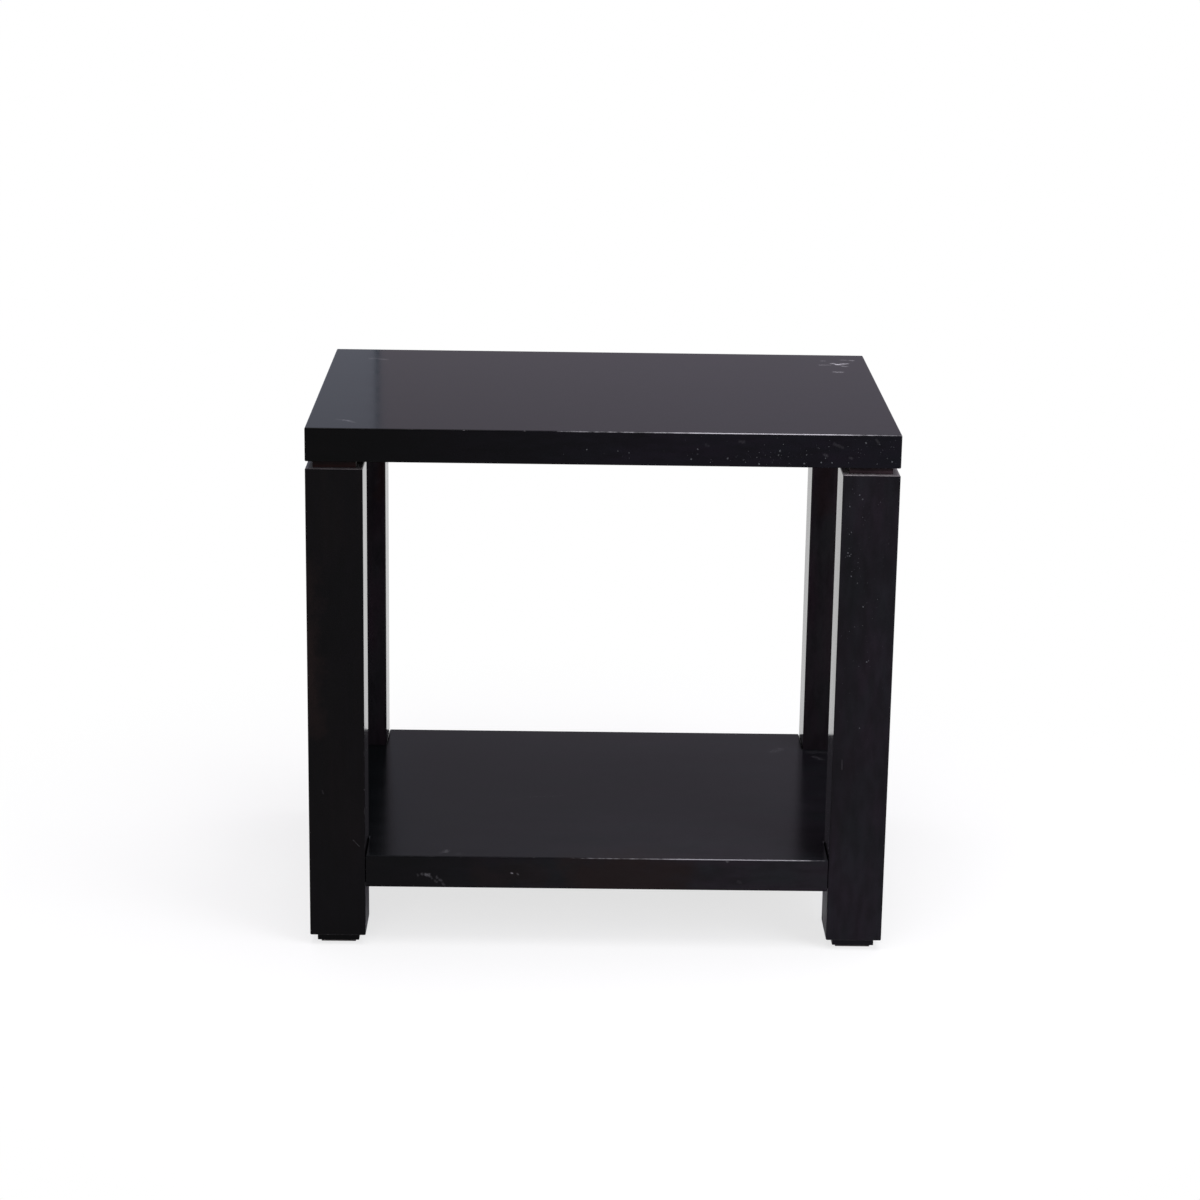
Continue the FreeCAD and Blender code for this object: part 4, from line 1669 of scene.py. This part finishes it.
@dataclass
class Spatter:
    """Pale specks dried on the front of the top and of the right leg."""

    front: float = FRONT
    seed: int = 7
    density: float = 30000.0
    smallest: float = 0.00020
    largest: float = 0.00110

    PATCHES = (
        (-0.060, 0.090, 0.575, 0.592, 0.12),
        (0.090, 0.150, 0.575, 0.592, 0.45),
        (0.090, 0.230, 0.592, 0.606, 0.12),
        (0.150, 0.230, 0.575, 0.592, 1.0),
        (0.230, 0.325, 0.576, 0.605, 0.50),
        (0.268, 0.300, 0.440, 0.556, 0.38),
        (0.300, 0.326, 0.440, 0.556, 0.14),
        (0.268, 0.324, 0.330, 0.440, 0.14),
        (0.268, 0.320, 0.230, 0.330, 0.05),
    )
    BLOB = {"Segments": 7, "Rings": 4, "Radius": 1.0}
    FEW_LARGE = 4.0
    OVAL = (0.8, 1.35)
    FLAT = 0.12

    def build(self) -> None:
        """Scatters the specks."""
        y = self.front
        panels = [[(a, y, c), (b, y, c), (b, y, d), (a, y, d)] for a, b, c, d, _ in self.PATCHES]
        carrier = panels_of("speck_patches", panels)
        share = carrier.data.attributes.new("share", "FLOAT", "FACE")
        share.data.foreach_set("value", [part for *_, part in self.PATCHES])
        tree = Repeater("pale_specks")
        density = tree.takes("Density", "NodeSocketFloat", self.density)
        seed = tree.takes("Seed", "NodeSocketInt", self.seed)
        smallest = tree.takes("Smallest", "NodeSocketFloat", self.smallest)
        largest = tree.takes("Largest", "NodeSocketFloat", self.largest)
        thick = tree.maths("MULTIPLY", density, tree.carried("share", "FLOAT"))
        spots = tree.scattered(thick, seed)
        blob = tree.node("GeometryNodeMeshUVSphere", self.BLOB).outputs["Mesh"]
        few = tree.maths("POWER", tree.random(0.0, 1.0, seed, 1), self.FEW_LARGE)
        size = tree.node("ShaderNodeMapRange", {0: few, 3: smallest, 4: largest}).outputs[0]
        wide = tree.maths("MULTIPLY", size, tree.random(*self.OVAL, seed, 2))
        scale = tree.together(wide, tree.maths("MULTIPLY", size, self.FLAT), size)
        turn = tree.together(0.0, tree.random(0.0, math.tau, seed, 3))
        copies = tree.copies(spots.outputs["Points"], blob, Rotation=turn, Scale=scale)
        piece = tree.finish(copies, SpeckFinish().make(), carrier)
        piece.data.shade_smooth()
        keep(piece)


@dataclass
class HiddenFrame:
    """What the CAD holds inside the shells, and the necks and feet that show."""

    top_ribs: int = 3
    shelf_ribs: int = 2

    def build(self) -> None:
        """Dresses the CAD nodes that stay."""
        corners = [corner for corner, _, _ in CORNERS]
        dress([f"reveal_block_{c}" for c in corners], StainFinish().make())
        dress([f"foot_block_{c}" for c in corners], LacquerFinish("lacquer_feet", Grain.ALONG_X).make())
        hidden = ["top_mitre_splines", "leg_dowels"]
        for board, ribs in (("top", self.top_ribs), ("shelf", self.shelf_ribs)):
            hidden += [f"{board}_corner_block_{c}" for c in corners]
            hidden += [f"{board}_core_rib_{i + 1}" for i in range(ribs)]
        dress(hidden, CoreWoodFinish().make())
        dress(["threaded_inserts", "leg_hanger_bolts", "foot_screws"], ZincFinish().make())


# Studio


@dataclass
class Softbox:
    """A square soft lamp aimed at a point, which the lacquer mirrors or not."""

    name: str
    place: Point
    aim: Point
    side: float
    watts: float
    colour: Colour = (1.0, 1.0, 1.0)
    mirrored: bool = False

    def build(self) -> None:
        """Sets the lamp up."""
        data = bpy.data.lights.new(self.name, "AREA")
        data.shape = "SQUARE"
        data.size = self.side
        data.energy = self.watts
        data.color = self.colour
        lamp = placed(self.name, data)
        lamp.location = self.place
        lamp.rotation_euler = (Vector(self.aim) - Vector(self.place)).to_track_quat("-Z", "Y").to_euler()
        lamp.visible_glossy = self.mirrored


@dataclass
class Card:
    """An upright card behind the table, seen only in reflections."""

    name: str
    left: float
    right: float
    colour: Colour
    place: float = 2.5
    low: float = 0.02
    high: float = 2.6

    def build(self) -> None:
        """Sets the card up."""
        a, b, y = self.left, self.right, self.place
        corners = [(a, y, self.low), (b, y, self.low), (b, y, self.high), (a, y, self.high)]
        card = panels_of(self.name, [corners])
        bench = NodeBench(self.name)
        pale = bench.node("ShaderNodeEmission", {"Color": (*self.colour, 1.0)})
        card.data.materials.append(bench.show(pale.outputs[0]))
        card.visible_camera = False
        card.visible_diffuse = False
        card.visible_shadow = False


@dataclass
class Studio:
    """A pale floor, a soft grey surround, soft lamps and the camera."""

    floor_half: float = 60.0
    floor_colour: Colour = (0.93, 0.93, 0.93)
    glow: float = 0.72
    shadow_reach: Span = (0.42, 1.0)
    under_half: Span = (0.33, 0.235)
    under_edge: Span = (0.9, 1.15)
    surround: Colour = (0.374, 0.347, 0.408)
    eye: Point = (-0.04148, -3.43857, 1.30388)
    right: Point = (0.999855, -0.008456, 0.014765)
    up: Point = (-0.011974, 0.266829, 0.963669)
    back: Point = (-0.012089, -0.963707, 0.266690)
    lens: float = 89.07
    sensor: float = 36.0

    LAMPS = (
        Softbox("overhead", (0.2, -0.4, 2.9), (0.2, -0.4, 0.4), 2.4, 68.0, mirrored=True),
        Softbox("key_right", (1.55, -1.35, 1.25), (0.1, 0.0, 0.3), 1.1, 19.0, (0.93, 0.96, 1.0)),
        Softbox("fill_front", (-0.8, -3.2, 1.1), (0.0, 0.0, 0.35), 1.6, 38.0),
    )
    CARDS = (
        Card("card", -2.4, -0.4305, (0.420, 0.438, 0.528)),
        Card("card_edge", -0.4305, -0.4215, (0.165, 0.195, 0.25)),
    )

    def build(self) -> None:
        """Builds the stage round the table."""
        bpy.context.scene.view_settings.view_transform = "Standard"
        self._world()
        self._floor()
        for item in (*self.CARDS, *self.LAMPS):
            item.build()
        self._camera()

    def _world(self) -> None:
        """A soft grey surround."""
        world = bpy.data.worlds.new("surround")
        world.use_nodes = True
        world.node_tree.nodes["Background"].inputs["Color"].default_value = (*self.surround, 1.0)
        bpy.context.scene.world = world

    def _floor(self) -> None:
        """A pale floor that shows near white and keeps the shadow, see-through from below."""
        h = self.floor_half
        floor = panels_of("floor", [[(-h, -h, 0.0), (h, -h, 0.0), (h, h, 0.0), (-h, h, 0.0)]])
        bench = NodeBench("pale_floor")
        path = bench.node("ShaderNodeLightPath").outputs
        mirrored = bench.product(path["Is Glossy Ray"], self._beside(bench))
        seen = bench.maths("MAXIMUM", path["Is Camera Ray"], mirrored)
        seen = bench.maths("MAXIMUM", seen, path["Is Transmission Ray"])
        away = bench.vector("LENGTH", "Value", bench.place)
        glow = bench.step(away, *self.shadow_reach, self.glow, 1.0)
        matt = bench.node("ShaderNodeBsdfDiffuse", {"Color": (*self.floor_colour, 1.0)}).outputs[0]
        white = bench.node("ShaderNodeEmission").outputs[0]
        lit = self._mixed(bench, bench.product(seen, glow), matt, white)
        clear = bench.node("ShaderNodeBsdfTransparent").outputs[0]
        under = bench.node("ShaderNodeNewGeometry").outputs["Backfacing"]
        floor.data.materials.append(bench.show(self._mixed(bench, under, lit, clear)))

    def _beside(self, bench: NodeBench) -> Socket:
        """0 under the table, where the floor is mirrored in its own shade, and 1 beside it.

        Args:
            bench: The floor's material.

        Returns:
            The value socket.
        """
        shares = []
        for axis, half in zip((Axis.X, Axis.Y), self.under_half):
            shares.append(bench.product(bench.maths("ABSOLUTE", bench.axis(axis)), 1.0 / half))
        return bench.step(bench.maths("MAXIMUM", *shares), *self.under_edge)

    @staticmethod
    def _mixed(bench: NodeBench, share: Value, first: Socket, second: Socket) -> Socket:
        """Two shaders mixed by a share."""
        return bench.node("ShaderNodeMixShader", {0: share, 1: first, 2: second}).outputs[0]

    def _camera(self) -> None:
        """The photograph's viewpoint."""
        data = bpy.data.cameras.new("camera")
        data.lens = self.lens
        data.sensor_width = self.sensor
        camera = placed("camera", data)
        turn = Matrix((self.right, self.up, self.back)).transposed().to_4x4()
        camera.matrix_world = Matrix.Translation(self.eye) @ turn
        bpy.context.scene.camera = camera


def main() -> None:
    """Builds the table's looks and its stage, in order."""
    logging.basicConfig(level=logging.INFO, format="%(name)s: %(message)s")
    TableTop().build()
    Legs().build()
    LowerShelf().build()
    ShelfFixings().build(PowderCoatFinish().make())
    GlidePads().build(FeltFinish().make())
    Spatter().build()
    HiddenFrame().build()
    Studio().build()


if __name__ == "__main__":
    main()
